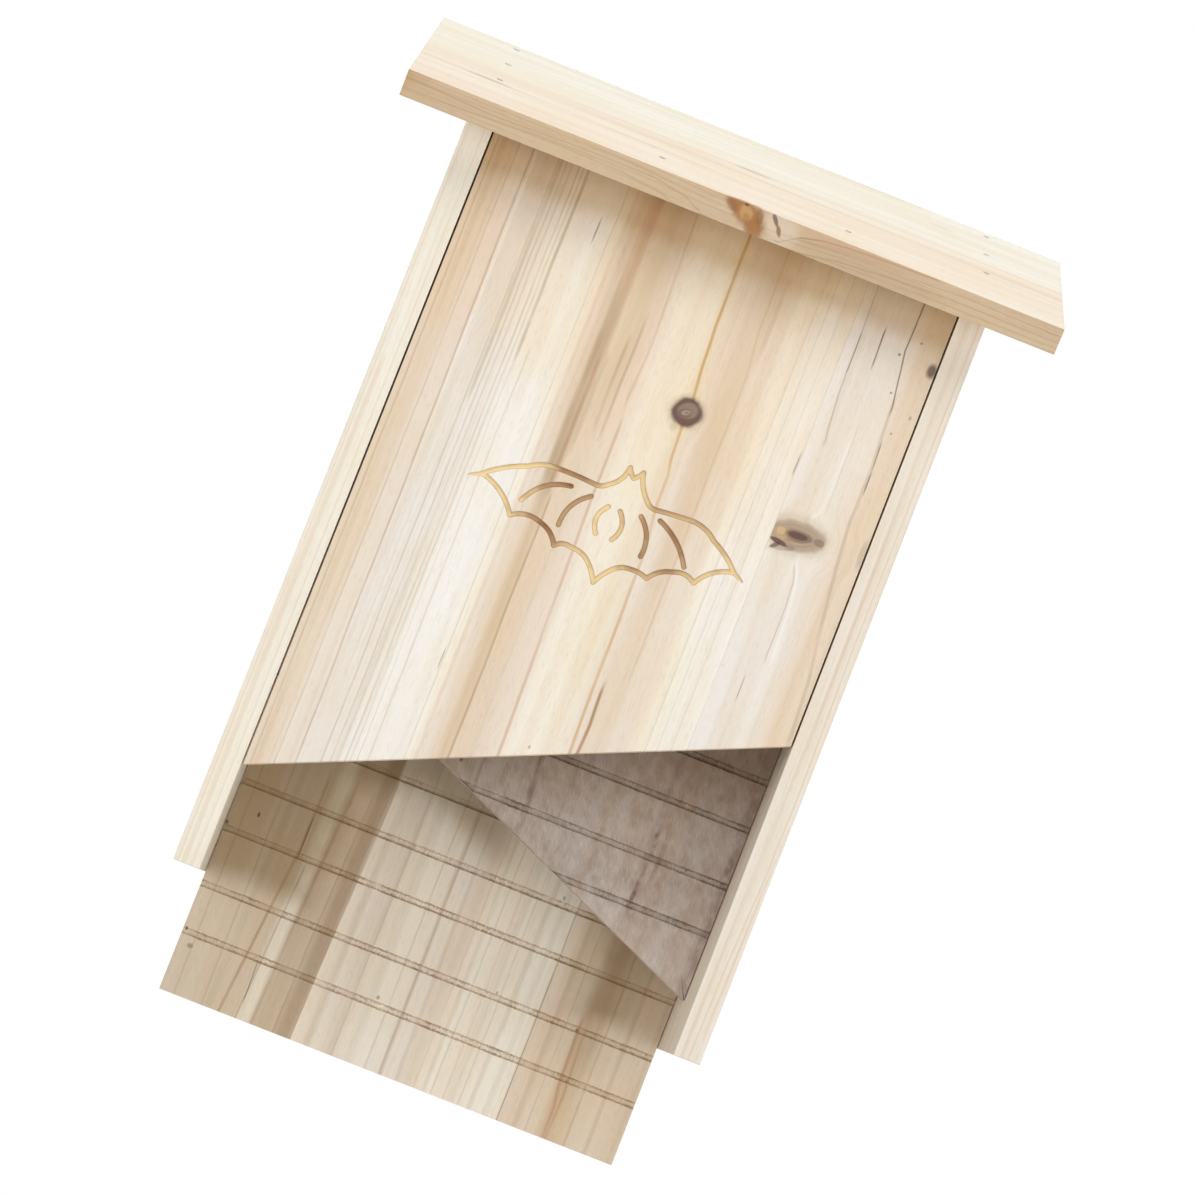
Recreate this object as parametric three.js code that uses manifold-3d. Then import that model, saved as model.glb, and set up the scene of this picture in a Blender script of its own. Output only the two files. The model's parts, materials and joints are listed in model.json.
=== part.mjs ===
// A wall-hung bat box of fir boards, in millimetres.
// Two chambers lie one behind the other, between a front board, a middle board and a back board.
// The bottom edges of the front and middle boards slant opposite ways, so that both chambers open
// downwards, and the back board runs on below as a landing board with grip grooves across it.
// +X is to the right seen from the front, the front faces -Y, and +Z is up. The origin is on the
// rear face of the back board, the face that lies against the wall.
import * as THREE from "three";
import { mergeVertices } from "three/addons/utils/BufferGeometryUtils.js";
import Module from "manifold-3d";

const wasm = await Module();
wasm.setup();

// Boards and the box
const boardThickness = 12;
const insideWidth = 216;
const sideDepth = 110;
const sideFrontHeight = 343.4;
const wallPointHeight = 165;
const seatGap = 0.3;

// Roof
const roofSlope = THREE.MathUtils.degToRad(21);
const roofWidth = 300;
const frontOverhang = 20;
const wallClearance = 0.5;

// Front, middle and back boards
const baffleSlope = THREE.MathUtils.degToRad(23.3);
const frontBoardGap = 0.8;
const frontCornerHeight = 47.7;
const frontChamberDepth = 39.5;
const middleTipHeight = 23.3;
const landingDrop = 55.5;

// Grip grooves, cut in pairs across the middle and back boards
const grooveWidth = 2.8;
const grooveDepth = 1.2;
const groovePitchShort = 22.3;
const groovePitchLong = 26.6;
const middleGrooveInset = 30.4;
const backGrooveInset = 28;
const grooveTopMargin = 20;

// Keyhole slot, routed into the rear face of the back board
const keyholeTopInset = 50;
const keyholeTravel = 18;
const keyholeEntryWidth = 12;
const keyholeNeckWidth = 6;
const keyholeLip = 3.5;
const keyholeHeadRoom = 4.5;
const keyholeSegments = 24;

// Brads
const bradLength = 30;
const bradWidth = 1.6;
const bradHeadWidth = 2.6;
const bradHeadThickness = 0.7;
const bradPointLength = 2.4;
const bradSet = 0.5;
const bradClearance = 0.3;
const bradSides = 8;
const bradEndInset = 42;
const roofBradInset = 8;
const roofBradPitch = 39.5;
const roofBradsPerSide = 3;
const edgeBradsPerBoard = 3;
const frontRoofBradLeft = 36;
const frontRoofBradRight = 50;

// How far a cutting solid runs past the face that it cuts
const overrun = 2;

// Places that follow from the sizes above
const rearFace = 0;
const frontFace = rearFace - sideDepth;
const sideBottom = -wallPointHeight;
const insideHalf = insideWidth / 2;
const rise = Math.tan(roofSlope);
const middleFront = frontFace + boardThickness + frontChamberDepth;
const backFront = rearFace - boardThickness;

/** Height of the line that the side, front and back boards are cut to, at depth y. */
function bevelHeight(y) {
  return sideBottom + sideFrontHeight + (y - frontFace) * rise;
}

/** A closed three.js geometry as a manifold solid, moved by a matrix. */
function solidOf(geometry, matrix) {
  const bare = geometry.index ? geometry.toNonIndexed() : geometry.clone();
  bare.deleteAttribute("normal");
  bare.deleteAttribute("uv");
  if (matrix) {
    bare.applyMatrix4(matrix);
  }
  const merged = mergeVertices(bare);
  return new wasm.Manifold(
    new wasm.Mesh({
      numProp: 3,
      vertProperties: new Float32Array(merged.attributes.position.array),
      triVerts: new Uint32Array(merged.index.array),
    }),
  );
}

/** A manifold solid as a three.js geometry with flat faces. */
function geometryOf(solid) {
  const mesh = solid.getMesh();
  const indexed = new THREE.BufferGeometry();
  indexed.setAttribute("position", new THREE.BufferAttribute(mesh.vertProperties, mesh.numProp));
  indexed.setIndex(new THREE.BufferAttribute(mesh.triVerts, 1));
  const faceted = indexed.toNonIndexed();
  faceted.computeVertexNormals();
  return faceted;
}

function extrude(points, depth) {
  const shape = new THREE.Shape(points.map(([u, v]) => new THREE.Vector2(u, v)));
  return new THREE.ExtrudeGeometry(shape, { depth, bevelEnabled: false });
}

/** Extrudes an outline of [y, z] points across the box, from x = low to x = high. */
function acrossBox(points, low, high) {
  const turn = new THREE.Matrix4().makeBasis(
    new THREE.Vector3(0, 1, 0),
    new THREE.Vector3(0, 0, 1),
    new THREE.Vector3(1, 0, 0),
  );
  return solidOf(extrude(points, high - low).translate(0, 0, low), turn);
}

/** Extrudes an outline of [x, z] points through the box, from y = near to y = far. */
function throughBox(points, near, far) {
  const turn = new THREE.Matrix4().makeBasis(
    new THREE.Vector3(1, 0, 0),
    new THREE.Vector3(0, 0, 1),
    new THREE.Vector3(0, -1, 0),
  );
  return solidOf(extrude(points, far - near).translate(0, 0, -far), turn);
}

/** Heights of the grooves' middles, a short and a long pitch by turns, up to a limit. */
function grooveHeights(first, limit) {
  const heights = [];
  let height = first;
  while (height < limit - grooveTopMargin) {
    heights.push(height);
    height += heights.length % 2 ? groovePitchShort : groovePitchLong;
  }
  return heights;
}

/** The [y, z] outline of an upright board, with grooves across its front face. */
function uprightProfile(front, bottom, topFront, topRear, grooves = []) {
  const rear = front + boardThickness;
  const outline = [
    [front, bottom],
    [rear, bottom],
    [rear, topRear],
    [front, topFront],
  ];
  for (const middle of [...grooves].reverse()) {
    const upper = middle + grooveWidth / 2;
    const lower = middle - grooveWidth / 2;
    outline.push([front, upper], [front + grooveDepth, upper], [front + grooveDepth, lower], [front, lower]);
  }
  return outline;
}

/** The [x, z] outline that trims a board's bottom edge to a slant through both inner corners. */
function slantOutline(halfWidth, leftHeight, rightHeight, top) {
  const atEdge = (x) => leftHeight + ((rightHeight - leftHeight) * (x + insideHalf)) / insideWidth;
  return [
    [-halfWidth, atEdge(-halfWidth)],
    [halfWidth, atEdge(halfWidth)],
    [halfWidth, top],
    [-halfWidth, top],
  ];
}

/** One side board, its top cut to the roof's slope. */
function sideBoard(inner) {
  const outer = inner + Math.sign(inner) * boardThickness;
  const outline = [
    [frontFace, sideBottom],
    [rearFace, sideBottom],
    [rearFace, bevelHeight(rearFace)],
    [frontFace, bevelHeight(frontFace)],
  ];
  return acrossBox(outline, Math.min(inner, outer), Math.max(inner, outer));
}

/** The front board: bevelled top, bottom edge low at the left. */
function frontBoard() {
  const half = insideHalf - frontBoardGap;
  const left = sideBottom + frontCornerHeight;
  const right = left + insideWidth * Math.tan(baffleSlope);
  const rear = frontFace + boardThickness;
  const blank = acrossBox(
    uprightProfile(frontFace, left, bevelHeight(frontFace), bevelHeight(rear)),
    -half,
    half,
  );
  const trim = slantOutline(half, left, right, bevelHeight(rear) + overrun);
  return blank.intersect(throughBox(trim, frontFace - overrun, rear + overrun));
}

/** The middle board: square top just under the roof, grooved face, bottom edge low at the right. */
function middleBoard() {
  const half = insideHalf - seatGap;
  const right = sideBottom + middleTipHeight;
  const left = right + insideWidth * Math.tan(baffleSlope);
  const top = bevelHeight(middleFront);
  const grooves = grooveHeights(right + middleGrooveInset, top);
  const blank = acrossBox(uprightProfile(middleFront, right, top, top, grooves), -half, half);
  const trim = slantOutline(half, left, right, top + overrun);
  return blank.intersect(throughBox(trim, middleFront - overrun, middleFront + boardThickness + overrun));
}

/** A flat slot with round ends, standing up along Z, as deep as it is told, cut from y = near. */
function uprightSlot(width, low, high, near, depth) {
  const shape = new THREE.Shape();
  shape.absarc(0, high, width / 2, 0, Math.PI);
  shape.absarc(0, low, width / 2, Math.PI, 2 * Math.PI);
  const outline = shape.getPoints(keyholeSegments / 2).map((p) => [p.x, p.y]);
  return throughBox(outline, near, near + depth);
}

/** The keyhole: a round entry, a narrow neck above it and a wider undercut behind the neck. */
function keyhole() {
  const high = bevelHeight(rearFace) - keyholeTopInset;
  const low = high - keyholeTravel;
  const inner = rearFace - keyholeLip - keyholeHeadRoom;
  const depth = keyholeLip + keyholeHeadRoom + overrun;
  const entry = uprightSlot(keyholeEntryWidth, low, low, inner, depth);
  const neck = uprightSlot(keyholeNeckWidth, low, high, inner, depth);
  const undercut = uprightSlot(keyholeEntryWidth, low, high, inner, keyholeHeadRoom);
  return entry.add(neck).add(undercut);
}

/** The back board: it runs on below the sides, and has the grooves and the keyhole. */
function backBoard() {
  const half = insideHalf - seatGap;
  const bottom = sideBottom - landingDrop;
  const top = bevelHeight(backFront);
  const grooves = grooveHeights(bottom + backGrooveInset, top);
  const profile = uprightProfile(backFront, bottom, top, bevelHeight(rearFace), grooves);
  return acrossBox(profile, -half, half).subtract(keyhole());
}

/** A brad along -Y from its head's flat top at the origin, grown all round by a clearance. */
function bradProfile(clearance, headTop) {
  const shank = bradWidth / 2 + clearance;
  const head = bradHeadWidth / 2 + clearance;
  return [
    [0, -bradLength - clearance],
    [shank, -bradLength - clearance + bradPointLength],
    [shank, -bradHeadThickness - clearance],
    [head, -bradHeadThickness - clearance],
    [head, headTop],
    [0, headTop],
  ].map(([radius, height]) => new THREE.Vector2(radius, height));
}

const bradGeometry = new THREE.LatheGeometry(bradProfile(0, 0), bradSides);
const bradHoleTool = new THREE.LatheGeometry(bradProfile(bradClearance, bradSet + overrun), bradSides);

function finish(color, roughness, metalness = 0) {
  return new THREE.MeshStandardMaterial({ color, roughness, metalness });
}

const batBox = new THREE.Group();
const box = new THREE.Group();
const roof = new THREE.Group();
batBox.add(box, roof);

// The roof's group starts at its lower front edge: its Y runs up the slope and its Z out of the top.
const eave = frontFace - frontOverhang;
roof.position.set(0, eave, bevelHeight(eave) + seatGap / Math.cos(roofSlope));
roof.rotation.x = roofSlope;
const roofDepth = (sideDepth + frontOverhang - wallClearance) / Math.cos(roofSlope);

function roofBoard() {
  const outline = [
    [0, 0],
    [roofDepth, 0],
    [roofDepth, boardThickness],
    [0, boardThickness],
  ];
  return acrossBox(outline, -roofWidth / 2, roofWidth / 2);
}

const boards = {};

function addBoard(group, name, solid, material) {
  const mesh = new THREE.Mesh(geometryOf(solid), material);
  mesh.name = name;
  group.add(mesh);
  boards[name] = { mesh, solid };
}

addBoard(roof, "roof_board", roofBoard(), finish(0xefe5d0, 0.7));
addBoard(box, "left_side", sideBoard(-insideHalf), finish(0xe6dcc2, 0.72));
addBoard(box, "right_side", sideBoard(insideHalf), finish(0xe4dac4, 0.72));
addBoard(box, "front_board", frontBoard(), finish(0xe8d9c0, 0.7));
addBoard(box, "middle_board", middleBoard(), finish(0x8f8078, 0.85));
addBoard(box, "back_board", backBoard(), finish(0xc9b596, 0.78));

const steel = finish(0x77716a, 0.45, 0.9);
const brads = [];

/** Drives one brad: its head is set below the face at the given point, and it leaves along outward. */
function addBrad(group, name, point, outward, through, into) {
  const mesh = new THREE.Mesh(bradGeometry, steel);
  mesh.name = name;
  mesh.position.copy(point).addScaledVector(outward, -bradSet);
  mesh.quaternion.setFromUnitVectors(new THREE.Vector3(0, 1, 0), outward);
  group.add(mesh);
  brads.push({ mesh, into: [through, into] });
}

const sides = [
  { name: "left", sign: -1 },
  { name: "right", sign: 1 },
];
const upSlope = new THREE.Vector3(0, 0, 1);

// Roof brads: a row down into the top of each side board, and two into the front board.
for (const { name, sign } of sides) {
  const x = sign * (insideHalf + boardThickness / 2);
  for (let i = 0; i < roofBradsPerSide; i++) {
    const y = roofDepth - roofBradInset - i * roofBradPitch;
    const point = new THREE.Vector3(x, y, boardThickness);
    addBrad(roof, `roof_brad_${name}_${i + 1}`, point, upSlope, "roof_board", `${name}_side`);
  }
}
// A brad square to the roof leans in the upright front board, so the middle of its grip is centred.
const grip = (bradLength - boardThickness + bradSet) / 2;
const frontBradLine = (frontOverhang + boardThickness / 2 - grip * Math.sin(roofSlope)) / Math.cos(roofSlope);
for (const [name, x] of [["left", -frontRoofBradLeft], ["right", frontRoofBradRight]]) {
  const point = new THREE.Vector3(x, frontBradLine, boardThickness);
  addBrad(roof, `roof_brad_front_${name}`, point, upSlope, "roof_board", "front_board");
}

// Edge brads: level rows through the side boards into the edges of the three upright boards.
const heightAtSide = {
  front_board: (sign) => sideBottom + frontCornerHeight + (sign > 0 ? insideWidth * Math.tan(baffleSlope) : 0),
  middle_board: (sign) => sideBottom + middleTipHeight + (sign < 0 ? insideWidth * Math.tan(baffleSlope) : 0),
  back_board: () => sideBottom,
};
const frontOf = { front_board: frontFace, middle_board: middleFront, back_board: backFront };
for (const { name, sign } of sides) {
  const outward = new THREE.Vector3(sign, 0, 0);
  for (const [board, front] of Object.entries(frontOf)) {
    const low = heightAtSide[board](sign) + bradEndInset;
    const high = bevelHeight(front) - bradEndInset;
    for (let i = 0; i < edgeBradsPerBoard; i++) {
      const z = low + ((high - low) * i) / (edgeBradsPerBoard - 1);
      const point = new THREE.Vector3(sign * (insideHalf + boardThickness), front + boardThickness / 2, z);
      const label = `${board.replace("_board", "")}_brad_${name}_${i + 1}`;
      addBrad(box, label, point, outward, `${name}_side`, board);
    }
  }
}

// Each brad's hole is cut in the board that it goes through and in the board that it holds.
batBox.updateMatrixWorld(true);
for (const { mesh, into } of brads) {
  for (const name of into) {
    const board = boards[name];
    const place = board.mesh.matrixWorld.clone().invert().multiply(mesh.matrixWorld);
    board.solid = board.solid.subtract(solidOf(bradHoleTool, place));
  }
}
for (const { mesh, solid } of Object.values(boards)) {
  mesh.geometry = geometryOf(solid);
}

export default batBox;
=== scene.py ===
"""A wall-hung bat box of bare fir: finished boards, brads, studio and camera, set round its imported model.

Every board is a surface worked out with numpy: a rounded section carried along the board, with the
grip grooves, brad pits and bat figure pressed into its outer face. Its finish is made of nodes that
read the board's own place in millimetres, so staves, knots and stains lie where the real ones do.
"""

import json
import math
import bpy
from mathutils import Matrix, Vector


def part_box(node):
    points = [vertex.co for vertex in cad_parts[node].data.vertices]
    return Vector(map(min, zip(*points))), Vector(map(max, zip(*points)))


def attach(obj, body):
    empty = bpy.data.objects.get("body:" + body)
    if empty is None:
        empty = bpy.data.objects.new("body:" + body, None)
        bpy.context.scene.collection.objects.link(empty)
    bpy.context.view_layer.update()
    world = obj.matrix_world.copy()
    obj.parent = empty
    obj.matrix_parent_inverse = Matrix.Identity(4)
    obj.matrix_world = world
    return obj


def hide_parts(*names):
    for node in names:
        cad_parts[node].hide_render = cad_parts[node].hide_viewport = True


bl_info = {
    "name": "Bat Box",
    "version": (1, 0, 0),
    "blender": (4, 5, 0),
    "location": "View3D > Sidebar > Bat Box",
    "description": "Finishes a wall-hung bat box: eased boards, grip grooves, carved bat, brads, fir",
    "category": "Object",
}

import bmesh
import bpy
import numpy as np
from mathutils import Matrix, Vector

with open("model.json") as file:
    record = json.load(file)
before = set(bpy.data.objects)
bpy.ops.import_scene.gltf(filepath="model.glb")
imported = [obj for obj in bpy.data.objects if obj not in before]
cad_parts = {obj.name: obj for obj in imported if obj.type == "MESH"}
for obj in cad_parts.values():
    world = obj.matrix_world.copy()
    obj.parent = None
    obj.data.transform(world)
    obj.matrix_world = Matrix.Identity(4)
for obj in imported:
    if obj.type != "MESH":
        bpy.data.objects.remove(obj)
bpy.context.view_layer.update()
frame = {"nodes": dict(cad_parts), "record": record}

MM = 0.001
BODY = "root"
SIDES = (("left", -1), ("right", 1))


def tone(red, green, blue):
    """A colour written as the eye reads it, 0 to 255 a channel, in the linear values that Blender keeps."""
    share = np.array((red, green, blue)) / 255
    linear = np.where(share <= 0.04045, share / 12.92, ((share + 0.055) / 1.055) ** 2.4)
    return tuple(float(value) for value in linear)


def length(name, description, default):
    """A length that a user can change, in metres."""
    return bpy.props.FloatProperty(
        name=name, description=description, default=default, min=0, precision=5,
        subtype="DISTANCE", unit="LENGTH",
    )


def angle(name, description, degrees):
    """An angle that a user can change."""
    return bpy.props.FloatProperty(
        name=name, description=description, default=math.radians(degrees), subtype="ANGLE", unit="ROTATION"
    )


def colour(name, description, red, green, blue):
    """A colour that a user can change, written 0 to 255 a channel."""
    return bpy.props.FloatVectorProperty(
        name=name, description=description, default=tone(red, green, blue), size=3, min=0, max=1,
        subtype="COLOR",
    )


def amount(name, description, default):
    """A plain number that a user can change."""
    return bpy.props.FloatProperty(name=name, description=description, default=default, min=0)


class BoardSizes(bpy.types.PropertyGroup):
    """How the boards are cut and eased."""

    roof_slope: angle("Roof Slope", "Fall of the roof, and of the bevels under it", 21)
    baffle_slope: angle("Baffle Slope", "Slant of the front and middle boards' bottom edges", 23.3)
    ease: length("Eased Edge", "Radius that sandpaper leaves on an edge", 0.35 * MM)
    groove_width: length("Groove Width", "Width of a grip groove", 2.8 * MM)
    groove_depth: length("Groove Depth", "Depth of a grip groove", 1.2 * MM)
    groove_short: length("Short Pitch", "From the first groove of a pair to the second", 22.3 * MM)
    groove_long: length("Long Pitch", "From one pair of grooves to the next", 26.6 * MM)
    groove_top_margin: length("Plain Top", "Height without grooves at a board's top", 20 * MM)
    middle_inset: length("Middle Groove Inset", "First groove above the middle board's tip", 30.4 * MM)
    back_inset: length("Back Groove Inset", "First groove above the back board's end", 28 * MM)
    keyhole_travel: length("Keyhole Travel", "From the keyhole's entry up to the end of its neck", 18 * MM)
    keyhole_entry: length("Keyhole Entry", "Width of the keyhole's entry and undercut", 12 * MM)
    keyhole_neck: length("Keyhole Neck", "Width of the keyhole's neck", 6 * MM)
    keyhole_lip: length("Keyhole Lip", "Wood left between the undercut and the wall", 3.5 * MM)
    keyhole_room: length("Keyhole Room", "Depth of the undercut for a screw's head", 4.5 * MM)


class BatFigure(bpy.types.PropertyGroup):
    """The routed line figure of a bat on the front board."""

    centre: length("Centre", "The bat's middle, to the right of the board's", 2.9 * MM)
    tip_height: length("Tip Height", "Height of the wing tips above the wall point", 33.3 * MM)
    left_wing: length("Left Wing", "From the bat's middle to its left wing tip", 66.6 * MM)
    right_wing: length("Right Wing", "From the bat's middle to its right wing tip", 59.6 * MM)
    line_width: length("Line Width", "Width of the routed line", 2.7 * MM)
    line_depth: length("Line Depth", "Depth of the routed line", 0.55 * MM)
    grid_step: length("Grid Step", "Spacing of the surface's lines round the bat", 0.34 * MM)


class BradSizes(bpy.types.PropertyGroup):
    """The brads that hold the boards, and the pits that they sit in."""

    head_width: length("Head Width", "Width of a brad's head", 2.6 * MM)
    head_thickness: length("Head Thickness", "Thickness of a brad's head", 0.7 * MM)
    shank_width: length("Shank Width", "Width of the wire", 1.6 * MM)
    point_length: length("Point Length", "Length of the tapered point", 2.4 * MM)
    set_depth: length("Set", "How far a head lies below the wood", 0.5 * MM)
    clearance: length("Clearance", "Room round a head in its pit", 0.3 * MM)


class WoodTones(bpy.types.PropertyGroup):
    """Tones of the fir and of the brads."""

    chalk: colour("Chalk Fir", "Palest wood, at the roof's rear", 249, 243, 227)
    shell: colour("Shell Fir", "Warm pale wood, at the roof's front", 248, 234, 214)
    white: colour("White Fir", "Palest sapwood", 243, 237, 227)
    cream: colour("Cream Fir", "Cream sapwood", 241, 230, 211)
    ivory: colour("Ivory Fir", "Slightly yellow sapwood", 238, 225, 201)
    pearl: colour("Pearl Fir", "Pale wood with a cool cast", 236, 227, 216)
    blush: colour("Blush Fir", "Pinkish pale wood", 234, 220, 204)
    beige: colour("Beige Fir", "Plain warm wood", 229, 211, 187)
    tan: colour("Tan Fir", "Tan heartwood", 216, 191, 159)
    rose: colour("Rose Fir", "Reddish heartwood", 206, 168, 136)
    umber: colour("Umber Streak", "Brown mineral streak", 166, 124, 84)
    olive: colour("Olive Line", "Dull thin growth line", 170, 146, 104)
    straw: colour("Left Side Fir", "Pale wood of the left side board", 241, 233, 217)
    oat: colour("Right Side Fir", "Slightly greyer wood of the right side board", 235, 224, 208)
    buff: colour("Buff Fir", "Dull pale wood of the back board", 244, 233, 214)
    dun: colour("Dun Fir", "Dull tan wood of the back board", 223, 205, 179)
    dusty: colour("Dusty Fir", "Duller tan wood beside the back board's brown band", 210, 190, 162)
    moss: colour("Moss Brown", "Olive-brown heartwood of the back board", 188, 166, 138)
    lip: colour("Groove Lip Brown", "Brown along the back board's groove lips", 160, 128, 88)
    dusk: colour("Groove Lip Dusk", "Darker brown along the middle board's groove lips", 108, 90, 70)
    bark: colour("Knot Brown", "Dark rim of a knot, and cracks", 84, 58, 48)
    plum: colour("Knot Purple", "Soft purplish brown of a knot's outer rings", 112, 84, 74)
    heart: colour("Knot Heart", "Greyish middle of a knot", 156, 132, 116)
    ember: colour("Knot Orange", "Resin-rich knot wood", 172, 108, 48)
    resin: colour("Resin", "Golden resin line", 206, 164, 106)
    scorch: colour("Groove Brown", "Brown left where a cutter runs warm", 142, 96, 62)
    gold: colour("Routed Gold", "Floor of the bat's routed line", 240, 212, 156)
    weathered: colour("Weathered Fir", "Grey-brown of the middle board", 189, 174, 163)
    stain: colour("Red Stain", "Reddish stain on the middle board", 120, 82, 70)
    steel: colour("Brad Steel", "Steel wire", 128, 122, 116)
    dull: colour("Dull Steel", "Steel wire where drawing has left it duller", 88, 82, 78)


class Studio(bpy.types.PropertyGroup):
    """Lamps, floor and camera."""

    daylight: amount("Daylight", "Strength of the light from all round", 0.43)
    side_power: amount("Side Lamp Power", "Power of each of the two side lamps, in watts", 9.5)
    rear_power: amount("Rear Lamp Power", "Power of each of the two lamps behind the box, in watts", 20)
    top_power: amount("Top Lamp Power", "Power of the lamp above, in watts", 29)
    lamp_size: length("Lamp Size", "Width of each soft lamp", 1.2)
    lamp_distance: length("Lamp Distance", "From each soft lamp to the box", 2.6)
    lamp_swing: angle("Lamp Swing", "How far a side lamp stands to the side of the front", 34)
    rear_swing: angle("Rear Lamp Swing", "How far a rear lamp stands to the side of the front", 125)
    side_rise: angle("Side Lamp Rise", "How far the side and rear lamps stand above the level", 4)
    top_rise: angle("Top Lamp Rise", "How far the top lamp stands above the level", 58)
    floor_drop: length("Floor Drop", "From the box's lower end down to the floor", 0.45)
    floor_reach: length("Floor Reach", "From the box to the floor's edges", 4.0)
    floor_tone: colour("Floor Tone", "Pale grey of the floor", 243, 243, 243)
    floor_glow: amount("Floor Glow", "Light added to the floor where it is seen, so it stays white", 0.35)
    far_glow: amount("Far Glow", "Glow added further off, where the floor ends in white", 0.45)
    glow_start: length("Glow Start", "Where the far glow begins", 1.0)
    glow_end: length("Glow End", "Where the far glow is full", 3.0)
    focal_length: amount("Focal Length", "Lens in millimetres on a 36 mm sensor", 146.006)


GROUPS = {
    "bat_box_boards": BoardSizes,
    "bat_box_bat": BatFigure,
    "bat_box_brads": BradSizes,
    "bat_box_tones": WoodTones,
    "bat_box_studio": Studio,
}


# Surfaces

CORNER_POINTS = 4
REAR_POINTS = 5
MERGE_DISTANCE = 0.001 * MM
PLACE_DECIMALS = 7
DOUBLE_SHARE = 0.25
RIGHT_ANGLE = math.pi / 2
SHARP_ANGLE = math.radians(40)


def rounded_section(columns, thickness, ease):
    """The section of a board once round, as core points and the directions in which they are grown.

    Each point is a core point, on a rectangle one ease smaller all round, plus the ease times its
    direction: straight out on the four sides, and turning by a quarter circle at each corner.
    Columns are the places across the outer face. Returns arrays of across, depth, and directions.
    """
    low, high = columns[0], columns[-1]
    near, far = ease, thickness - ease
    quarter = np.linspace(0, RIGHT_ANGLE, CORNER_POINTS)
    rear = np.linspace(high, low, REAR_POINTS)
    parts = (
        (columns, near, np.full_like(columns, -RIGHT_ANGLE)),
        (high, near, quarter - RIGHT_ANGLE),
        (high, far, quarter),
        (rear, far, np.full_like(rear, RIGHT_ANGLE)),
        (low, far, quarter + RIGHT_ANGLE),
        (low, near, quarter + math.pi),
    )
    across, depth, turn = (
        np.concatenate(values) for values in zip(*(np.broadcast_arrays(*part) for part in parts))
    )
    return across, depth, np.cos(turn), np.sin(turn)


def eased_rows(rows, ease):
    """The sections along a board: where each one is, how much it is grown, and how far it is moved on.

    Between the ends a section is grown by the whole ease. At each end it shrinks by the cosine of an
    angle while it moves out by the sine, through a quarter turn, which rounds the end's edges.
    """
    turn = np.linspace(0, RIGHT_ANGLE, CORNER_POINTS)[1:]
    place = np.pad(rows, len(turn), "edge")
    grown = np.concatenate((np.cos(turn[::-1]), np.ones(len(rows)), np.cos(turn))) * ease
    moved = np.concatenate((-np.sin(turn[::-1]), np.zeros(len(rows)), np.sin(turn))) * ease
    return place, grown, moved


def slanted(place, low, high, level_low, level_high, low_end, high_end):
    """Heights between slanted ends: as they are between the two levels, and stretched evenly beyond.

    Below the lower level a height keeps its share of the way down to the low end, which may change
    across the board, and above the upper level its share of the way up to the high end.
    """
    below = level_low - (level_low - place) * (level_low - low_end) / (level_low - low)
    above = level_high + (place - level_high) * (high_end - level_high) / (high - level_high)
    return np.where(place < level_low, below, np.where(place > level_high, above, place))


class Board:
    """One board's own axes: across its face, along its length, and in from its outer face."""

    def __init__(self, origin, axes, width, height, thickness):
        self.origin = np.array(origin, float)
        self.axes = np.array(axes, float)
        self.width = width
        self.height = height
        self.thickness = thickness

    def points(self, across, along, depth):
        """Places in the row frame of points given across, along and in from the board's outer face."""
        return self.origin + np.stack((across, along, depth), -1) @ self.axes


def board_grid(board, columns, rows, ease, cut, shape=None, bend=None):
    """A board's surface as a grid of points: its rounded section carried from end to end.

    cut(across, along) is how deep the outer face is pressed in at each point, bend(across, along)
    draws grid lines in round the pits, and shape(across, along, depth) slants the ends.
    Returns the points, one row for each section, and marks for the finish: how deep a point is
    pressed in, in millimetres, and how far it lies round onto an end or a side, as a share.
    """
    core_across, core_depth, out_across, out_depth = rounded_section(columns, board.thickness, ease)
    place, grown, moved = eased_rows(rows, ease)
    across = core_across + grown[:, None] * out_across
    depth = core_depth + grown[:, None] * out_depth
    along = np.broadcast_to(place[:, None], across.shape).copy()
    outer = np.broadcast_to(core_depth < board.thickness / 2, across.shape)
    if bend is not None:
        bent_across, bent_along = bend(across, along)
        across = np.where(outer, bent_across, across)
        along = np.where(outer, bent_along, along)
    pressed = np.where(outer, cut(across, along), 0)
    depth = np.maximum(depth, pressed)
    if shape is not None:
        along = shape(across, along, depth)
    marks = {
        "pressed": pressed / MM,
        "end": np.broadcast_to(np.abs(moved[:, None]) / ease, across.shape),
        "side": np.broadcast_to(np.abs(out_across), across.shape),
    }
    return board.points(across, along + moved[:, None], depth), marks


def grid_mesh(name, points, marks):
    """A closed mesh from a grid whose rows are rings: quads between the rows, and a flat face at each end.

    Points that fall together at the eased corners are merged, and the faces are turned outwards.
    marks holds one value for each point, kept on the mesh under its name.
    """
    rows, ring = points.shape[:2]
    index = np.arange(rows * ring).reshape(rows, ring)
    nearer = index[:-1]
    farther = index[1:]
    quads = np.stack((nearer, np.roll(nearer, -1, 1), np.roll(farther, -1, 1), farther), -1).reshape(-1, 4)
    ends = [index[0, ::-1].tolist(), index[-1].tolist()]
    mesh = bpy.data.meshes.new(name)
    mesh.from_pydata(points.reshape(-1, 3).tolist(), [], quads.tolist() + ends)
    for mark, values in marks.items():
        layer = mesh.attributes.new(mark, "FLOAT", "POINT")
        layer.data.foreach_set("value", values.astype(np.float32).ravel())
    work = bmesh.new()
    work.from_mesh(mesh)
    bmesh.ops.remove_doubles(work, verts=work.verts, dist=MERGE_DISTANCE)
    bmesh.ops.recalc_face_normals(work, faces=work.faces)
    work.to_mesh(mesh)
    work.free()
    return mesh


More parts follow.
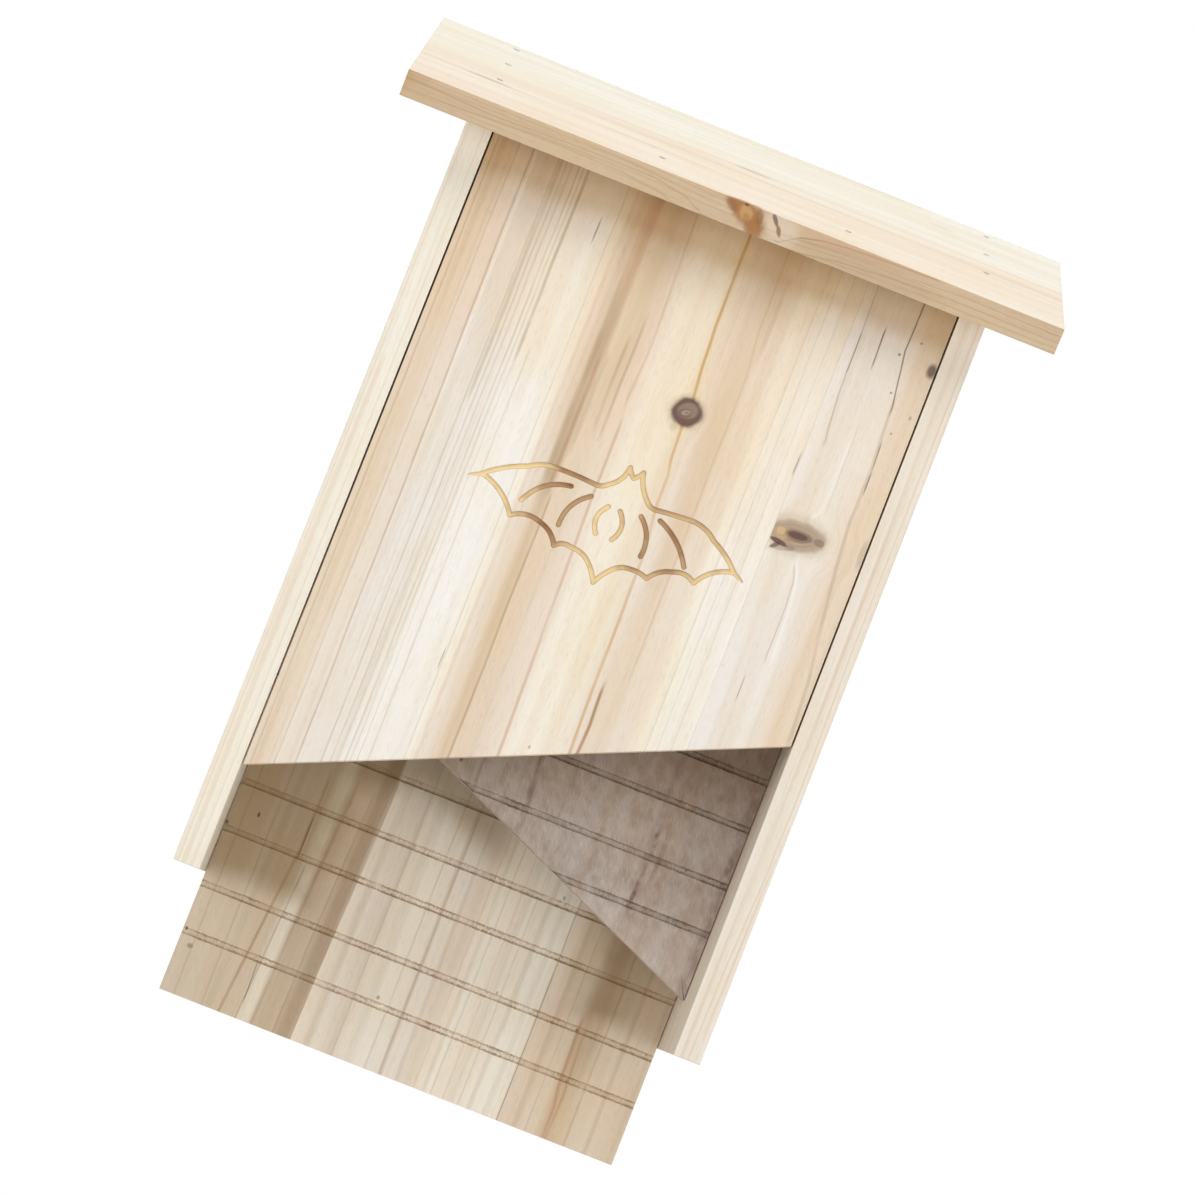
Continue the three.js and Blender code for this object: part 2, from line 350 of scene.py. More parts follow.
def add_piece(mesh, material, node):
    """Puts a finished mesh in the scene as a piece that stands for a node of the model."""
    piece = bpy.data.objects.new(mesh.name, mesh)
    bpy.context.scene.collection.objects.link(piece)
    mesh.materials.append(material)
    mesh.shade_smooth()
    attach(piece, BODY)
    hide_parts(node)
    return piece


def settle_shading(piece, sharp_angle=None):
    """Large flat faces keep their own shade beside eased edges, and edges past an angle stay sharp."""
    if sharp_angle is not None:
        piece.data.set_sharp_from_angle(angle=sharp_angle)
    weighted = piece.modifiers.new("Face Weights", "WEIGHTED_NORMAL")
    weighted.keep_sharp = True


def grid_lines(low, high, step, *extra):
    """Places from low to high about a step apart, with extra places put in and near doubles left out."""
    plain = np.linspace(low, high, max(2, int(round((high - low) / step)) + 1))
    kept = np.concatenate(extra) if extra else np.zeros(0)
    kept = np.unique(np.round(kept[(kept > low) & (kept < high)], PLACE_DECIMALS))
    if len(kept):
        gap = np.abs(plain[:, None] - kept[None, :]).min(1)
        ends = (plain == low) | (plain == high)
        plain = plain[(gap > step * DOUBLE_SHARE) | ends]
    return np.unique(np.concatenate((plain, kept)))


# Brad pits

PIT_REACH = 1.6
SMALLEST = 1e-9


def pit_radii(brads):
    """The radius of a pit's flat floor and of its rim."""
    head = brads.head_width / 2
    return head + brads.clearance / 2, head + brads.clearance


def pit_lines(centres, brads):
    """Grid lines through and round each pit: its middle, its floor's edge, its rim, and where it ends."""
    floor, rim = pit_radii(brads)
    offsets = np.array((0, floor / 2, floor, rim, rim * PIT_REACH))
    offsets = np.concatenate((-offsets[:0:-1], offsets))
    return (centres[:, None] + offsets).ravel()


def pit_bend(places, brads):
    """Square rings of grid points round each pit become circles.

    A point whose larger offset from the pit's middle is c is moved to the distance c from it, wholly
    up to the rim, and less and less from there to the last of the pit's grid lines.
    """
    _, rim = pit_radii(brads)

    def bend(across, along):
        for centre_across, centre_along in places:
            offset_across = across - centre_across
            offset_along = along - centre_along
            square = np.maximum(np.abs(offset_across), np.abs(offset_along))
            distance = np.maximum(np.hypot(offset_across, offset_along), SMALLEST)
            share = np.clip((rim * PIT_REACH - square) / (rim * (PIT_REACH - 1)), 0, 1)
            factor = 1 + share * (square / distance - 1)
            across = centre_across + offset_across * factor
            along = centre_along + offset_along * factor
        return across, along

    return bend


def pit_cut(places, brads):
    """Depth of the pits: as deep as a head's underside on the floor, then up to nothing at the rim."""
    floor, rim = pit_radii(brads)
    deep = brads.set_depth + brads.head_thickness

    def cut(across, along):
        depth = np.zeros_like(across)
        for centre_across, centre_along in places:
            distance = np.hypot(across - centre_across, along - centre_along)
            depth = np.maximum(depth, deep * np.clip((rim - distance) / (rim - floor), 0, 1))
        return depth

    return cut


# Bat figure

OUTLINE = (
    # across, as a share of the wing's span, left of the middle below 0; height above the tips;
    # how far the arc to here bulges up; how brown the line is here, as a share
    (-1.0, 0.0, 0.0, 0.0),
    (-0.905, 3.2, -0.3, 0.0),
    (-0.66, 12.6, 0.9, 0.0),
    (-0.53, 16.3, 0.5, 0.25),
    (-0.44, 16.5, 0.0, 0.85),
    (-0.215, 15.9, 0.2, 0.45),
    (-0.14, 17.9, -0.6, 0.1),
    (-0.046, 28.2, -1.5, 0.1),
    (0.0, 24.4, -0.3, 0.1),
    (0.052, 28.2, -0.3, 0.1),
    (0.15, 17.4, -1.0, 0.15),
    (0.225, 15.2, -0.6, 0.6),
    (0.525, 16.6, 0.2, 0.35),
    (0.70, 12.0, 0.9, 0.35),
    (0.905, 3.2, 0.7, 0.1),
    (1.0, 0.0, -0.3, 0.1),
    (0.905, 2.4, 0.3, 0.1),
    (0.673, -8.0, 2.0, 0.15),
    (0.50, -7.0, 1.6, 0.6),
    (0.347, -13.6, 1.2, 0.4),
    (0.22, -12.4, 0.5, 0.5),
    (0.10, -15.0, 0.7, 0.1),
    (0.0, -23.5, 0.5, 0.05),
    (-0.11, -14.6, 0.7, 0.05),
    (-0.21, -13.0, 0.5, 0.2),
    (-0.322, -15.0, 1.2, 0.6),
    (-0.46, -7.8, 1.4, 0.8),
    (-0.655, -9.8, 1.8, 0.15),
    (-0.905, 2.4, 2.0, 0.0),
    (-1.0, 0.0, 0.3, 0.0),
)
RIBS = (
    # start across and height, end across and height, bulge to the left of the way; brown at both ends
    (-5.7, 9.1, -6.7, -3.6, -2.6, 0.0, 0.05),
    (-0.3, 9.1, 0.7, -3.6, 2.5, 0.3, 0.15),
    (-14.2, 10.5, -22.8, -6.0, -2.6, 0.7, 0.6),
    (8.9, 10.3, 14.8, -5.8, 2.4, 0.5, 0.75),
    (-23.7, 11.4, -41.5, -2.0, -3.1, 0.95, 0.1),
    (17.1, 11.6, 33.8, -3.2, 2.0, 0.75, 0.6),
)
TIP_WIDTH_SHARE = 0.2
ARC_POINTS = 11
FAR_OFF = 1.0


def arc(start, end, bulge):
    """Points on a shallow arc from start to end: the chord plus the bulge times a parabola's height."""
    start, end = np.array(start), np.array(end)
    share = np.linspace(0, 1, ARC_POINTS)[:, None]
    chord = end - start
    normal = np.array((-chord[1], chord[0])) / np.linalg.norm(chord)
    return start + share * chord + 4 * bulge * share * (1 - share) * normal


def bat_lines(bat):
    """The bat's lines, its outline and ribs: points on the board in metres, and at each point how
    brown the line is and how wide, both as shares. The line narrows towards the wing tips."""
    middle = (bat.centre, bat.tip_height)
    places = [
        (share * (bat.right_wing if share > 0 else bat.left_wing), height * MM, bulge * MM, brown, share)
        for share, height, bulge, brown in OUTLINE
    ]
    lines = []
    for (x0, z0, _, brown0, share0), (x1, z1, bulge, brown1, share1) in zip(places, places[1:]):
        points = arc((x0, z0), (x1, z1), bulge if x1 > x0 else -bulge) + middle
        width0, width1 = (TIP_WIDTH_SHARE if abs(share) == 1 else 1.0 for share in (share0, share1))
        widths = np.linspace(width0, width1, len(points))
        lines.append((points, np.linspace(brown0, brown1, len(points)), widths))
    for *rib, brown0, brown1 in RIBS:
        x0, z0, x1, z1, bulge = (value * MM for value in rib)
        points = arc((x0, z0), (x1, z1), bulge) + middle
        lines.append((points, np.linspace(brown0, brown1, len(points)), np.ones(len(points))))
    return lines


def nearest_line(lines, points):
    """The distance of each point from the nearest line, as for a line of full width, and its brown share."""
    distance = np.full(len(points), FAR_OFF)
    brown = np.zeros(len(points))
    for line, browns, widths in lines:
        for step, (start, end) in enumerate(zip(line, line[1:])):
            chord = end - start
            share = np.clip((points - start) @ chord / (chord @ chord), 0, 1)
            gap = points - start - share[:, None] * chord
            here = np.hypot(gap[:, 0], gap[:, 1]) / (widths[step] + share * (widths[step + 1] - widths[step]))
            brown_here = browns[step] + share * (browns[step + 1] - browns[step])
            brown = np.where(here < distance, brown_here, brown)
            distance = np.minimum(distance, here)
    return distance, brown


def bat_cut(bat):
    """Depth of the routed line: a rounded trough along each line, deepest where a point lies on it.

    The depth is half the line's depth times one plus the cosine of the distance to the nearest
    line, which runs through half a turn over half the line's width. Returns the function that
    gives depth and brown share, and the figure's lowest and highest places.
    """
    lines = bat_lines(bat)
    everything = np.concatenate([points for points, *_ in lines])
    low = everything.min(0) - bat.line_width
    high = everything.max(0) + bat.line_width

    def cut(across, along):
        near = (across > low[0]) & (across < high[0]) & (along > low[1]) & (along < high[1])
        distance, brown = nearest_line(lines, np.stack((across[near], along[near]), -1))
        turn = np.clip(distance / (bat.line_width / 2), 0, 1) * math.pi
        depth = np.zeros_like(across)
        shares = np.zeros_like(across)
        depth[near] = bat.line_depth * (1 + np.cos(turn)) / 2
        shares[near] = brown
        return depth, shares

    return cut, low, high


# Grip grooves

GROOVE_DRAFT = 0.15 * MM
GROOVE_MARGIN = 0.9 * MM
LIP_REACH = 0.8 * MM
FLOOR_BROWN = 0.35


def groove_heights(first, limit, boards):
    """Middles of the grooves from the first one up to the limit, a short and a long pitch by turns."""
    pair = boards.groove_short + boards.groove_long
    count = math.ceil((limit - boards.groove_top_margin - first) / pair)
    starts = first + np.arange(count) * pair
    heights = np.stack((starts, starts + boards.groove_short), -1).ravel()
    return heights[heights < limit - boards.groove_top_margin]


def groove_rows(heights, boards):
    """Rows of the surface at each groove: clear of it, at its lips, and at the foot of its walls."""
    half = boards.groove_width / 2
    offsets = np.array((half + GROOVE_MARGIN, half, half - GROOVE_DRAFT))
    offsets = np.concatenate((-offsets, [0], offsets[::-1]))
    return (heights[:, None] + offsets).ravel()


def groove_cut(heights, boards):
    """Depth of the grooves: flat floors, walls with a slight draft, and nothing beyond the lips."""
    half = boards.groove_width / 2

    def cut(across, along):
        distance = np.abs(along[..., None] - heights).min(-1)
        return boards.groove_depth * np.clip((half - distance) / GROOVE_DRAFT, 0, 1)

    return cut


def groove_marks(along, heights, boards):
    """How brown a point is from the cutter: full at the lips, less on the floor, nothing further out."""
    half = boards.groove_width / 2
    distance = np.abs(along[..., None] - heights).min(-1)
    outside = np.clip(1 - (distance - half) / LIP_REACH, 0, 1)
    inside = FLOOR_BROWN + (1 - FLOOR_BROWN) * distance / half
    return np.where(distance > half, outside, inside)


# Finishes

class Signal:
    """A value that changes over a surface. Sums and products of signals become Math nodes."""

    def __init__(self, tree, socket):
        self.tree = tree
        self.socket = socket

    def math(self, operation, *others):
        """A Math node on this signal and the others."""
        node = self.tree.nodes.new("ShaderNodeMath")
        node.operation = operation
        for place, value in zip(node.inputs, (self, *others)):
            feed(self.tree, place, value)
        return Signal(self.tree, node.outputs[0])

    def __add__(self, other):
        return self.math("ADD", other)

    def __sub__(self, other):
        return self.math("SUBTRACT", other)

    def __rsub__(self, other):
        return (self * -1) + other

    def __mul__(self, other):
        return self.math("MULTIPLY", other)

    def __abs__(self):
        return self.math("ABSOLUTE")


def feed(tree, socket, value):
    """Links a signal to a socket, or sets a plain value or a colour of three channels on it."""
    if isinstance(value, Signal):
        tree.links.new(value.socket, socket)
    elif socket.type == "RGBA":
        socket.default_value = (*value, 1)
    else:
        socket.default_value = value


def rise(signal, low, high, top=1.0):
    """0 up to low, the top value from high on, and a smooth step between. With low above high it falls."""
    node = signal.tree.nodes.new("ShaderNodeMapRange")
    node.interpolation_type = "SMOOTHSTEP"
    feed(signal.tree, node.inputs["Value"], signal)
    feed(signal.tree, node.inputs["From Min"], min(low, high))
    feed(signal.tree, node.inputs["From Max"], max(low, high))
    feed(signal.tree, node.inputs["To Min"], 0.0 if low < high else top)
    feed(signal.tree, node.inputs["To Max"], top if low < high else 0.0)
    return Signal(signal.tree, node.outputs["Result"])


def band(signal, centre, half_width, soft, top=1.0):
    """The top value within half a width of the centre, fading to 0 over the soft distance on both sides."""
    return rise(abs(signal - centre), half_width + soft, half_width, top)


def strongest(signals):
    """The largest of several signals."""
    result = signals[0]
    for signal in signals[1:]:
        result = result.math("MAXIMUM", signal)
    return result


def mix(share, base, other, mode="MIX"):
    """A base colour changed towards another one by a share, or multiplied by it."""
    tree = share.tree
    node = tree.nodes.new("ShaderNodeMix")
    node.data_type = "RGBA"
    node.blend_type = mode
    first, second = (socket for socket in node.inputs if socket.type == "RGBA")
    feed(tree, node.inputs["Factor"], share)
    feed(tree, first, base)
    feed(tree, second, other)
    return Signal(tree, next(socket for socket in node.outputs if socket.type == "RGBA"))


def shade(share, base, multiplier):
    """A base colour multiplied by another one, by a share."""
    return mix(share, base, multiplier, "MULTIPLY")


def ramp(signal, stops, tones):
    """A colour, and a strength beside it, that run through stops of (place, name of a tone, strength)."""
    tree = signal.tree
    low, high = stops[0][0], stops[-1][0]
    node = tree.nodes.new("ShaderNodeValToRGB")
    elements = node.color_ramp.elements
    while len(elements) < len(stops):
        elements.new(1.0)
    for element, (place, tone_name, strength) in zip(elements, stops):
        element.position = (place - low) / (high - low)
        element.color = (*getattr(tones, tone_name), strength)
    feed(tree, node.inputs["Fac"], (signal - low) * (1 / (high - low)))
    return Signal(tree, node.outputs["Color"]), Signal(tree, node.outputs["Alpha"])


def flat(right, up):
    """Places on a flat surface, from how far to the right and how far up they lie."""
    node = right.tree.nodes.new("ShaderNodeCombineXYZ")
    feed(right.tree, node.inputs["X"], right)
    feed(right.tree, node.inputs["Y"], up)
    return Signal(right.tree, node.outputs["Vector"])


def oval(place, right, up, half_wide, half_high, tilt=0):
    """The distance from an oval's middle as a share of its half sizes, its right end raised by the tilt."""
    tree = place.tree
    mapping = tree.nodes.new("ShaderNodeMapping")
    mapping.vector_type = "TEXTURE"
    mapping.inputs["Location"].default_value = (right, up, 0)
    mapping.inputs["Rotation"].default_value = (0, 0, math.radians(tilt))
    mapping.inputs["Scale"].default_value = (half_wide, half_high, 1)
    feed(tree, mapping.inputs["Vector"], place)
    node = tree.nodes.new("ShaderNodeVectorMath")
    node.operation = "LENGTH"
    tree.links.new(mapping.outputs["Vector"], node.inputs[0])
    return Signal(tree, node.outputs["Value"])


def patches(base, place, table, wobble, soft, tones):
    """Lays ovals over a base colour, one after another, their rims soft by a share of their sizes."""
    for tone_name, strength, *shape in table:
        around = oval(place, *shape) + wobble
        base = mix(rise(around, 1 + soft, 1 - soft, strength), base, getattr(tones, tone_name))
    return base


STREAK_CORE_SHARE = 0.3
LINE_SHADE = (0.72, 0.62, 0.48)
FIBRE_SHADE = (0.80, 0.73, 0.64)
CLOUD_SHADE = (0.99, 0.96, 0.88)
PINK_SHADE = (0.99, 0.95, 0.93)
END_SHADE = (0.90, 0.82, 0.72)
BRIGHT_SHADE = (1.03, 1.05, 1.08)
SPECULAR = 0.35
STAVES_APART = 23.7
NOISES = {
    # sizes of the lumps across, along and through the wood in millimetres, seed, detail
    "stray": (220, 260, 220, 0, 1),
    "broad lines": (4.2, 700, 300, 0, 2),
    "narrow lines": (1.1, 260, 300, 4, 2),
    "lines present": (16, 90, 16, 13, 2),
    "flecks": (0.6, 4, 0.8, 8, 2),
    "fibres": (0.25, 9, 0.3, 1, 3),
    "clouds": (30, 55, 30, 5, 2),
    "pink": (8, 180, 9, 11, 2),
    "streaks stray": (40, 50, 40, 91, 2),
    "streaks present": (5, 34, 12, 92, 2),
    "browned": (9, 9, 9, 51, 2),
    "knot rims": (5, 5, 5, 40, 2),
    "upper boundary": (14, 70, 14, 21, 2),
    "eave boundary": (20, 40, 9, 33, 2),
    "roof knot rims": (2.6, 2.6, 2.6, 60, 2),
    "roof edge lines": (2.2, 120, 300, 77, 2),
    "lip strength": (9, 60, 60, 71, 2),
    "lip rags": (1.1, 1.4, 2, 75, 3),
    "lip chips": (1.0, 0.7, 2, 73, 2),
    "nap": (0.45, 4, 0.8, 81, 4),
    "mottle": (5, 7, 8, 85, 5),
    "blotches": (3, 6, 3, 84, 4),
    "stain edge": (16, 16, 16, 95, 2),
    "drawn steel": (0.12, 0.12, 0.12, 5, 3),
}


class Finish:
    """One board's material: millimetre places across and along its grain and in through it.

    The axes name the row frame's own axis for each of the three. A board that lies at a slope is
    turned level about the X axis first, with its own corner as the zero of its places.
    """

    def __init__(self, name, axes, slope=0.0, corner=(0, 0, 0)):
        self.material = bpy.data.materials.new(name)
        self.material.use_nodes = True
        self.tree = self.material.node_tree
        self.shader = self.tree.nodes["Principled BSDF"]
        coordinates = self.tree.nodes.new("ShaderNodeTexCoord")
        mapping = self.tree.nodes.new("ShaderNodeMapping")
        mapping.vector_type = "POINT"
        turned = Matrix.Rotation(-slope, 3, "X") @ Vector(corner)
        mapping.inputs["Location"].default_value = -turned / MM
        mapping.inputs["Rotation"].default_value = (-slope, 0, 0)
        mapping.inputs["Scale"].default_value = (1 / MM, 1 / MM, 1 / MM)
        split = self.tree.nodes.new("ShaderNodeSeparateXYZ")
        self.tree.links.new(coordinates.outputs["Object"], mapping.inputs["Vector"])
        self.tree.links.new(mapping.outputs["Vector"], split.inputs["Vector"])
        self.across, self.along, self.through = (Signal(self.tree, split.outputs[axis]) for axis in axes)
        self.face = flat(self.across, self.along)

    def noise(self, name, spot=None, seed=0):
        """A named noise about a middle of 0.5, at a place across the grain, with a seed added to its own."""
        wide, long, deep, own_seed, detail = NOISES[name]
        join = self.tree.nodes.new("ShaderNodeCombineXYZ")
        feed(self.tree, join.inputs["X"], (self.across if spot is None else spot) * (1 / wide))
        feed(self.tree, join.inputs["Y"], self.along * (1 / long))
        feed(self.tree, join.inputs["Z"], self.through * (1 / deep) + (seed + own_seed))
        node = self.tree.nodes.new("ShaderNodeTexNoise")
        node.inputs["Scale"].default_value = 1.0
        node.inputs["Detail"].default_value = detail
        self.tree.links.new(join.outputs["Vector"], node.inputs["Vector"])
        return Signal(self.tree, node.outputs["Fac"])

    def mark(self, name):
        """A value kept on the mesh's points."""
        node = self.tree.nodes.new("ShaderNodeAttribute")
        node.attribute_name = name
        return Signal(self.tree, node.outputs["Fac"])

    def lean(self, low, high, change):
        """0 up to a low place along the grain, the whole change from a high one on, and even between."""
        node = self.tree.nodes.new("ShaderNodeMapRange")
        feed(self.tree, node.inputs["Value"], self.along)
        for name, value in (("From Min", low), ("From Max", high), ("To Min", 0), ("To Max", change)):
            feed(self.tree, node.inputs[name], value)
        return Signal(self.tree, node.outputs["Result"])

    def streaks(self, table, spot):
        """How strongly the lines of a table mark a point, from 0 to 1: the strongest one counts.

        A row holds a half width, a strength and the points (across, along) that the line runs
        through, from its low end up. It is soft over its own half width and fades past its ends,
        a wide line more slowly, and a line given by one place across runs from end to end.
        """
        marks = []
        for half_width, strength, *points in table:
            middle = points[0][0]
            for (x0, z0), (x1, z1) in zip(points, points[1:]):
                if x1 != x0:
                    middle = self.lean(z0, z1, x1 - x0) + middle
            mark = band(spot, middle, half_width * STREAK_CORE_SHARE, half_width, strength)
            if len(points) > 1:
                low, high = points[0][1], points[-1][1]
                mark = mark * band(self.along, (low + high) / 2, (high - low) / 2, 2 + half_width * 8)
            marks.append(mark)
        return strongest(marks)

    def spots(self, table):
        """How strongly the soft round marks of a table show: (strength, across, along, half sizes)."""
        return strongest([rise(oval(self.face, *shape), 1.0, 0.35, strength) for strength, *shape in table])

    def finish(self, base, roughness, height, bump=0.06):
        """Joins colour, roughness and relief, in millimetres, to the shader."""
        feed(self.tree, self.shader.inputs["Base Color"], base)
        feed(self.tree, self.shader.inputs["Roughness"], roughness)
        self.shader.inputs["Specular IOR Level"].default_value = SPECULAR
        node = self.tree.nodes.new("ShaderNodeBump")
        node.inputs["Strength"].default_value = 1.0
        node.inputs["Distance"].default_value = bump * MM
        feed(self.tree, node.inputs["Height"], height)
        self.tree.links.new(node.outputs["Normal"], self.shader.inputs["Normal"])
        return self.material


def grain_place(finish, seed, stray=2.0, slant=0.6):
    """A place across the grain that strays slowly along the board and slants through its thickness."""
    slow = finish.noise("stray", seed=seed) - 0.5
    return finish.across + slow * (2 * stray) + finish.through * slant


def fir(finish, base, strength, spot, seed, end="end"):
    """Bare fir: growth lines, flecks, fibres and soft clouds laid over a base colour.

    Growth lines are noise drawn out along the grain and cut to its crests, at two widths, and
    they come and go along the board. Flecks and fibres are finer and shorter noise, and clouds
    are wide and faint. End grain, where the named mark says so, is darker. Returns the colour,
    the relief and the roughness.
    """
    broad = rise(finish.noise("broad lines", spot, seed), 0.48, 0.68)
    narrow = rise(finish.noise("narrow lines", spot, seed), 0.52, 0.72)
    present = rise(finish.noise("lines present", spot, seed), 0.30, 0.62)
    flecks = rise(finish.noise("flecks", spot, seed), 0.50, 0.74)
    fibre = finish.noise("fibres", spot, seed)
    cloud = finish.noise("clouds", spot, seed)
    pink = finish.noise("pink", spot, seed)
    lines = (broad * 0.55 + narrow * 0.3) * (present * 0.8 + 0.3) * strength
    colour_now = shade(rise(pink, 0.56, 0.38), base, BRIGHT_SHADE)
    colour_now = shade(rise(cloud, 0.46, 0.62) * 0.5, colour_now, CLOUD_SHADE)
    colour_now = shade(rise(pink, 0.50, 0.64) * 0.5, colour_now, PINK_SHADE)
    colour_now = shade(lines, colour_now, LINE_SHADE)
    colour_now = shade(flecks * 0.30, colour_now, FIBRE_SHADE)
    colour_now = shade(rise(fibre, 0.40, 0.70, 0.16), colour_now, FIBRE_SHADE)
    colour_now = shade(finish.mark(end), colour_now, END_SHADE)
    return colour_now, fibre * 0.6 - lines * 0.5, fibre * 0.2 + 0.5 - lines * 0.1


def staved(finish, joints):
    """A number for each stave, far apart, that gives each its own piece of the noise."""
    number = finish.across.math("GREATER_THAN", joints[0])
    for joint in joints[1:]:
        number = number + finish.across.math("GREATER_THAN", joint)
    return number * STAVES_APART


def small_knot(base, distance, rim, heart):
    """A small tight knot by the distance from its middle: a faint halo, a dark rim and a paler heart."""
    halo = shade(rise(distance, 1.6, 1.0) * 0.35, base, LINE_SHADE)
    colour_now = mix(rise(distance, 1.08, 0.94), halo, rim)
    return mix(rise(distance, 0.84, 0.60) * 0.7, colour_now, heart)


# Board makers

# Spacings of each board's plain grid lines, across and along
FRONT_STEPS = (8 * MM, 10 * MM)
SIDE_STEPS = (11 * MM, 15 * MM)
ROOF_STEPS = (15 * MM, 12 * MM)
GROOVED_STEPS = (6 * MM, 12 * MM)
# How far past its slanted ends a board's middle part, which isn't stretched, begins
FRONT_MARGINS = (2 * MM, 20 * MM)
SIDE_MARGIN = 1 * MM
GROOVED_MARGIN = 14 * MM
FACE_TOLERANCE = 0.2 * MM
EASE_SEGMENTS = 2
ROUND_PROFILE = 0.5
END_SHARE = 0.1
SLOT_POINTS = 13
SLOT_OVERLAP = 0.01 * MM
OVERRUN = 2 * MM


def upright_board(node):
    """A board that stands up, its outer face towards the front, read from its node's box."""
    low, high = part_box(node)
    axes = ((1, 0, 0), (0, 0, 1), (0, 1, 0))
    board = Board((low.x, low.y, 0), axes, high.x - low.x, high.z - low.z, high.y - low.y)
    return board, low, high


def pitted_board(board, names, scene, steps, ends, levels=(), shape=None):
    """A board's surface with a pit for each of the named brads: its points and marks.

    steps are the spacings of the plain grid lines, ends the first and the last place along, and
    levels the places along that the shape needs besides.
    """
    brads, ease = scene.bat_box_brads, scene.bat_box_boards.ease
    heads = np.array([brad_head(name, scene) for name in names])
    places = (heads - board.origin) @ board.axes[:2].T
    pits_across, pits_along = places.T
    columns = grid_lines(ease, board.width - ease, steps[0], pit_lines(pits_across, brads))
    rows = grid_lines(*ends, steps[1], pit_lines(pits_along, brads), np.array(levels))
    return board_grid(board, columns, rows, ease, pit_cut(places, brads), shape, pit_bend(places, brads))


class BATBOX_OT_front_board(bpy.types.Operator):
    """Makes the front board with its slanted bottom, its bevelled top and the routed bat"""

    bl_idname = "bat_box.front_board"
    bl_label = "Front Board"

    def execute(self, context):
        scene = context.scene
        boards, bat = scene.bat_box_boards, scene.bat_box_bat
        board, low, high = upright_board("front_board")
        ease = boards.ease
        cut, bat_low, bat_high = bat_cut(bat)
        dense_across = np.arange(bat_low[0], bat_high[0], bat.grid_step) - low.x
        dense_along = np.arange(bat_low[1], bat_high[1], bat.grid_step)
        columns = grid_lines(ease, board.width - ease, FRONT_STEPS[0], dense_across)
        slant = math.tan(boards.baffle_slope)
        bevel = math.tan(boards.roof_slope)
        bottom, top = low.z + ease, high.z - ease
        levels = np.array((low.z + board.width * slant + FRONT_MARGINS[0], high.z - FRONT_MARGINS[1]))
        rows = grid_lines(bottom, top, FRONT_STEPS[1], dense_along, levels)

        def shape(across, along, depth):
            slanted_top = top + (depth - board.thickness) * bevel
            return slanted(along, bottom, top, *levels, bottom + across * slant, slanted_top)

        def carved(across, along):
            return cut(across + low.x, along)[0]

        points, marks = board_grid(board, columns, rows, ease, carved, shape)
        marks["carved"] = marks["pressed"] * MM / bat.line_depth
        marks["browned"] = cut(points[..., 0], points[..., 2])[1]
        mesh = grid_mesh("front_board_wood", points, marks)
        material = front_fir(low.y, scene.bat_box_tones)
        settle_shading(add_piece(mesh, material, "front_board"))
        return {"FINISHED"}


class BATBOX_OT_sides(bpy.types.Operator):
    """Makes both side boards, their tops cut to the roof's slope and their faces pitted by brads"""

    bl_idname = "bat_box.sides"
    bl_label = "Side Boards"

    def execute(self, context):
        scene = context.scene
        ease = scene.bat_box_boards.ease
        bevel = math.tan(scene.bat_box_boards.roof_slope)
        for name, sign in SIDES:
            node = f"{name}_side"
            low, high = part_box(node)
            outer = high.x if sign > 0 else low.x
            axes = ((0, 1, 0), (0, 0, 1), (-sign, 0, 0))
            board = Board((outer, low.y, 0), axes, high.y - low.y, high.z - low.z, high.x - low.x)
            bottom, top = low.z + ease, high.z - ease
            level = high.z - board.width * bevel - SIDE_MARGIN

            def shape(across, along, depth):
                slanted_top = top + (across - board.width) * bevel
                return slanted(along, bottom, top, bottom + ease, level, bottom, slanted_top)

            points, marks = pitted_board(
                board, edge_brads(name), scene, SIDE_STEPS, (bottom, top), (level,), shape
            )
            mesh = grid_mesh(f"{node}_wood", points, marks)
            material = side_fir(name, outer, scene.bat_box_tones)
            settle_shading(add_piece(mesh, material, node), SHARP_ANGLE)
        return {"FINISHED"}


def roof_axes(boards):
    """The roof board's own axes, worked out from its node's box and the slope.

    The box's depth and height are the board's run up the slope and its thickness, each seen at the
    slope's angle, which gives two sums for the two sizes.
    """
    low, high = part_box("roof_board")
    cosine, sine = math.cos(boards.roof_slope), math.sin(boards.roof_slope)
    depth, rise_up = high.y - low.y, high.z - low.z
    run = (depth * cosine - rise_up * sine) / (cosine**2 - sine**2)
    thickness = (rise_up * cosine - depth * sine) / (cosine**2 - sine**2)
    corner = (low.x, low.y, low.z + thickness * cosine)
    axes = ((1, 0, 0), (0, cosine, sine), (0, sine, -cosine))
    return Board(corner, axes, high.x - low.x, run, thickness)


class BATBOX_OT_roof(bpy.types.Operator):
    """Makes the sloping roof board, its top pitted by the brads that hold it"""

    bl_idname = "bat_box.roof"
    bl_label = "Roof Board"

    def execute(self, context):
        scene = context.scene
        boards = scene.bat_box_boards
        board = roof_axes(boards)
        ends = (boards.ease, board.height - boards.ease)
        points, marks = pitted_board(board, roof_brads(), scene, ROOF_STEPS, ends)
        mesh = grid_mesh("roof_board_wood", points, marks)
        material = roof_fir(board, boards.roof_slope, scene.bat_box_tones)
        settle_shading(add_piece(mesh, material, "roof_board"), SHARP_ANGLE)
        return {"FINISHED"}


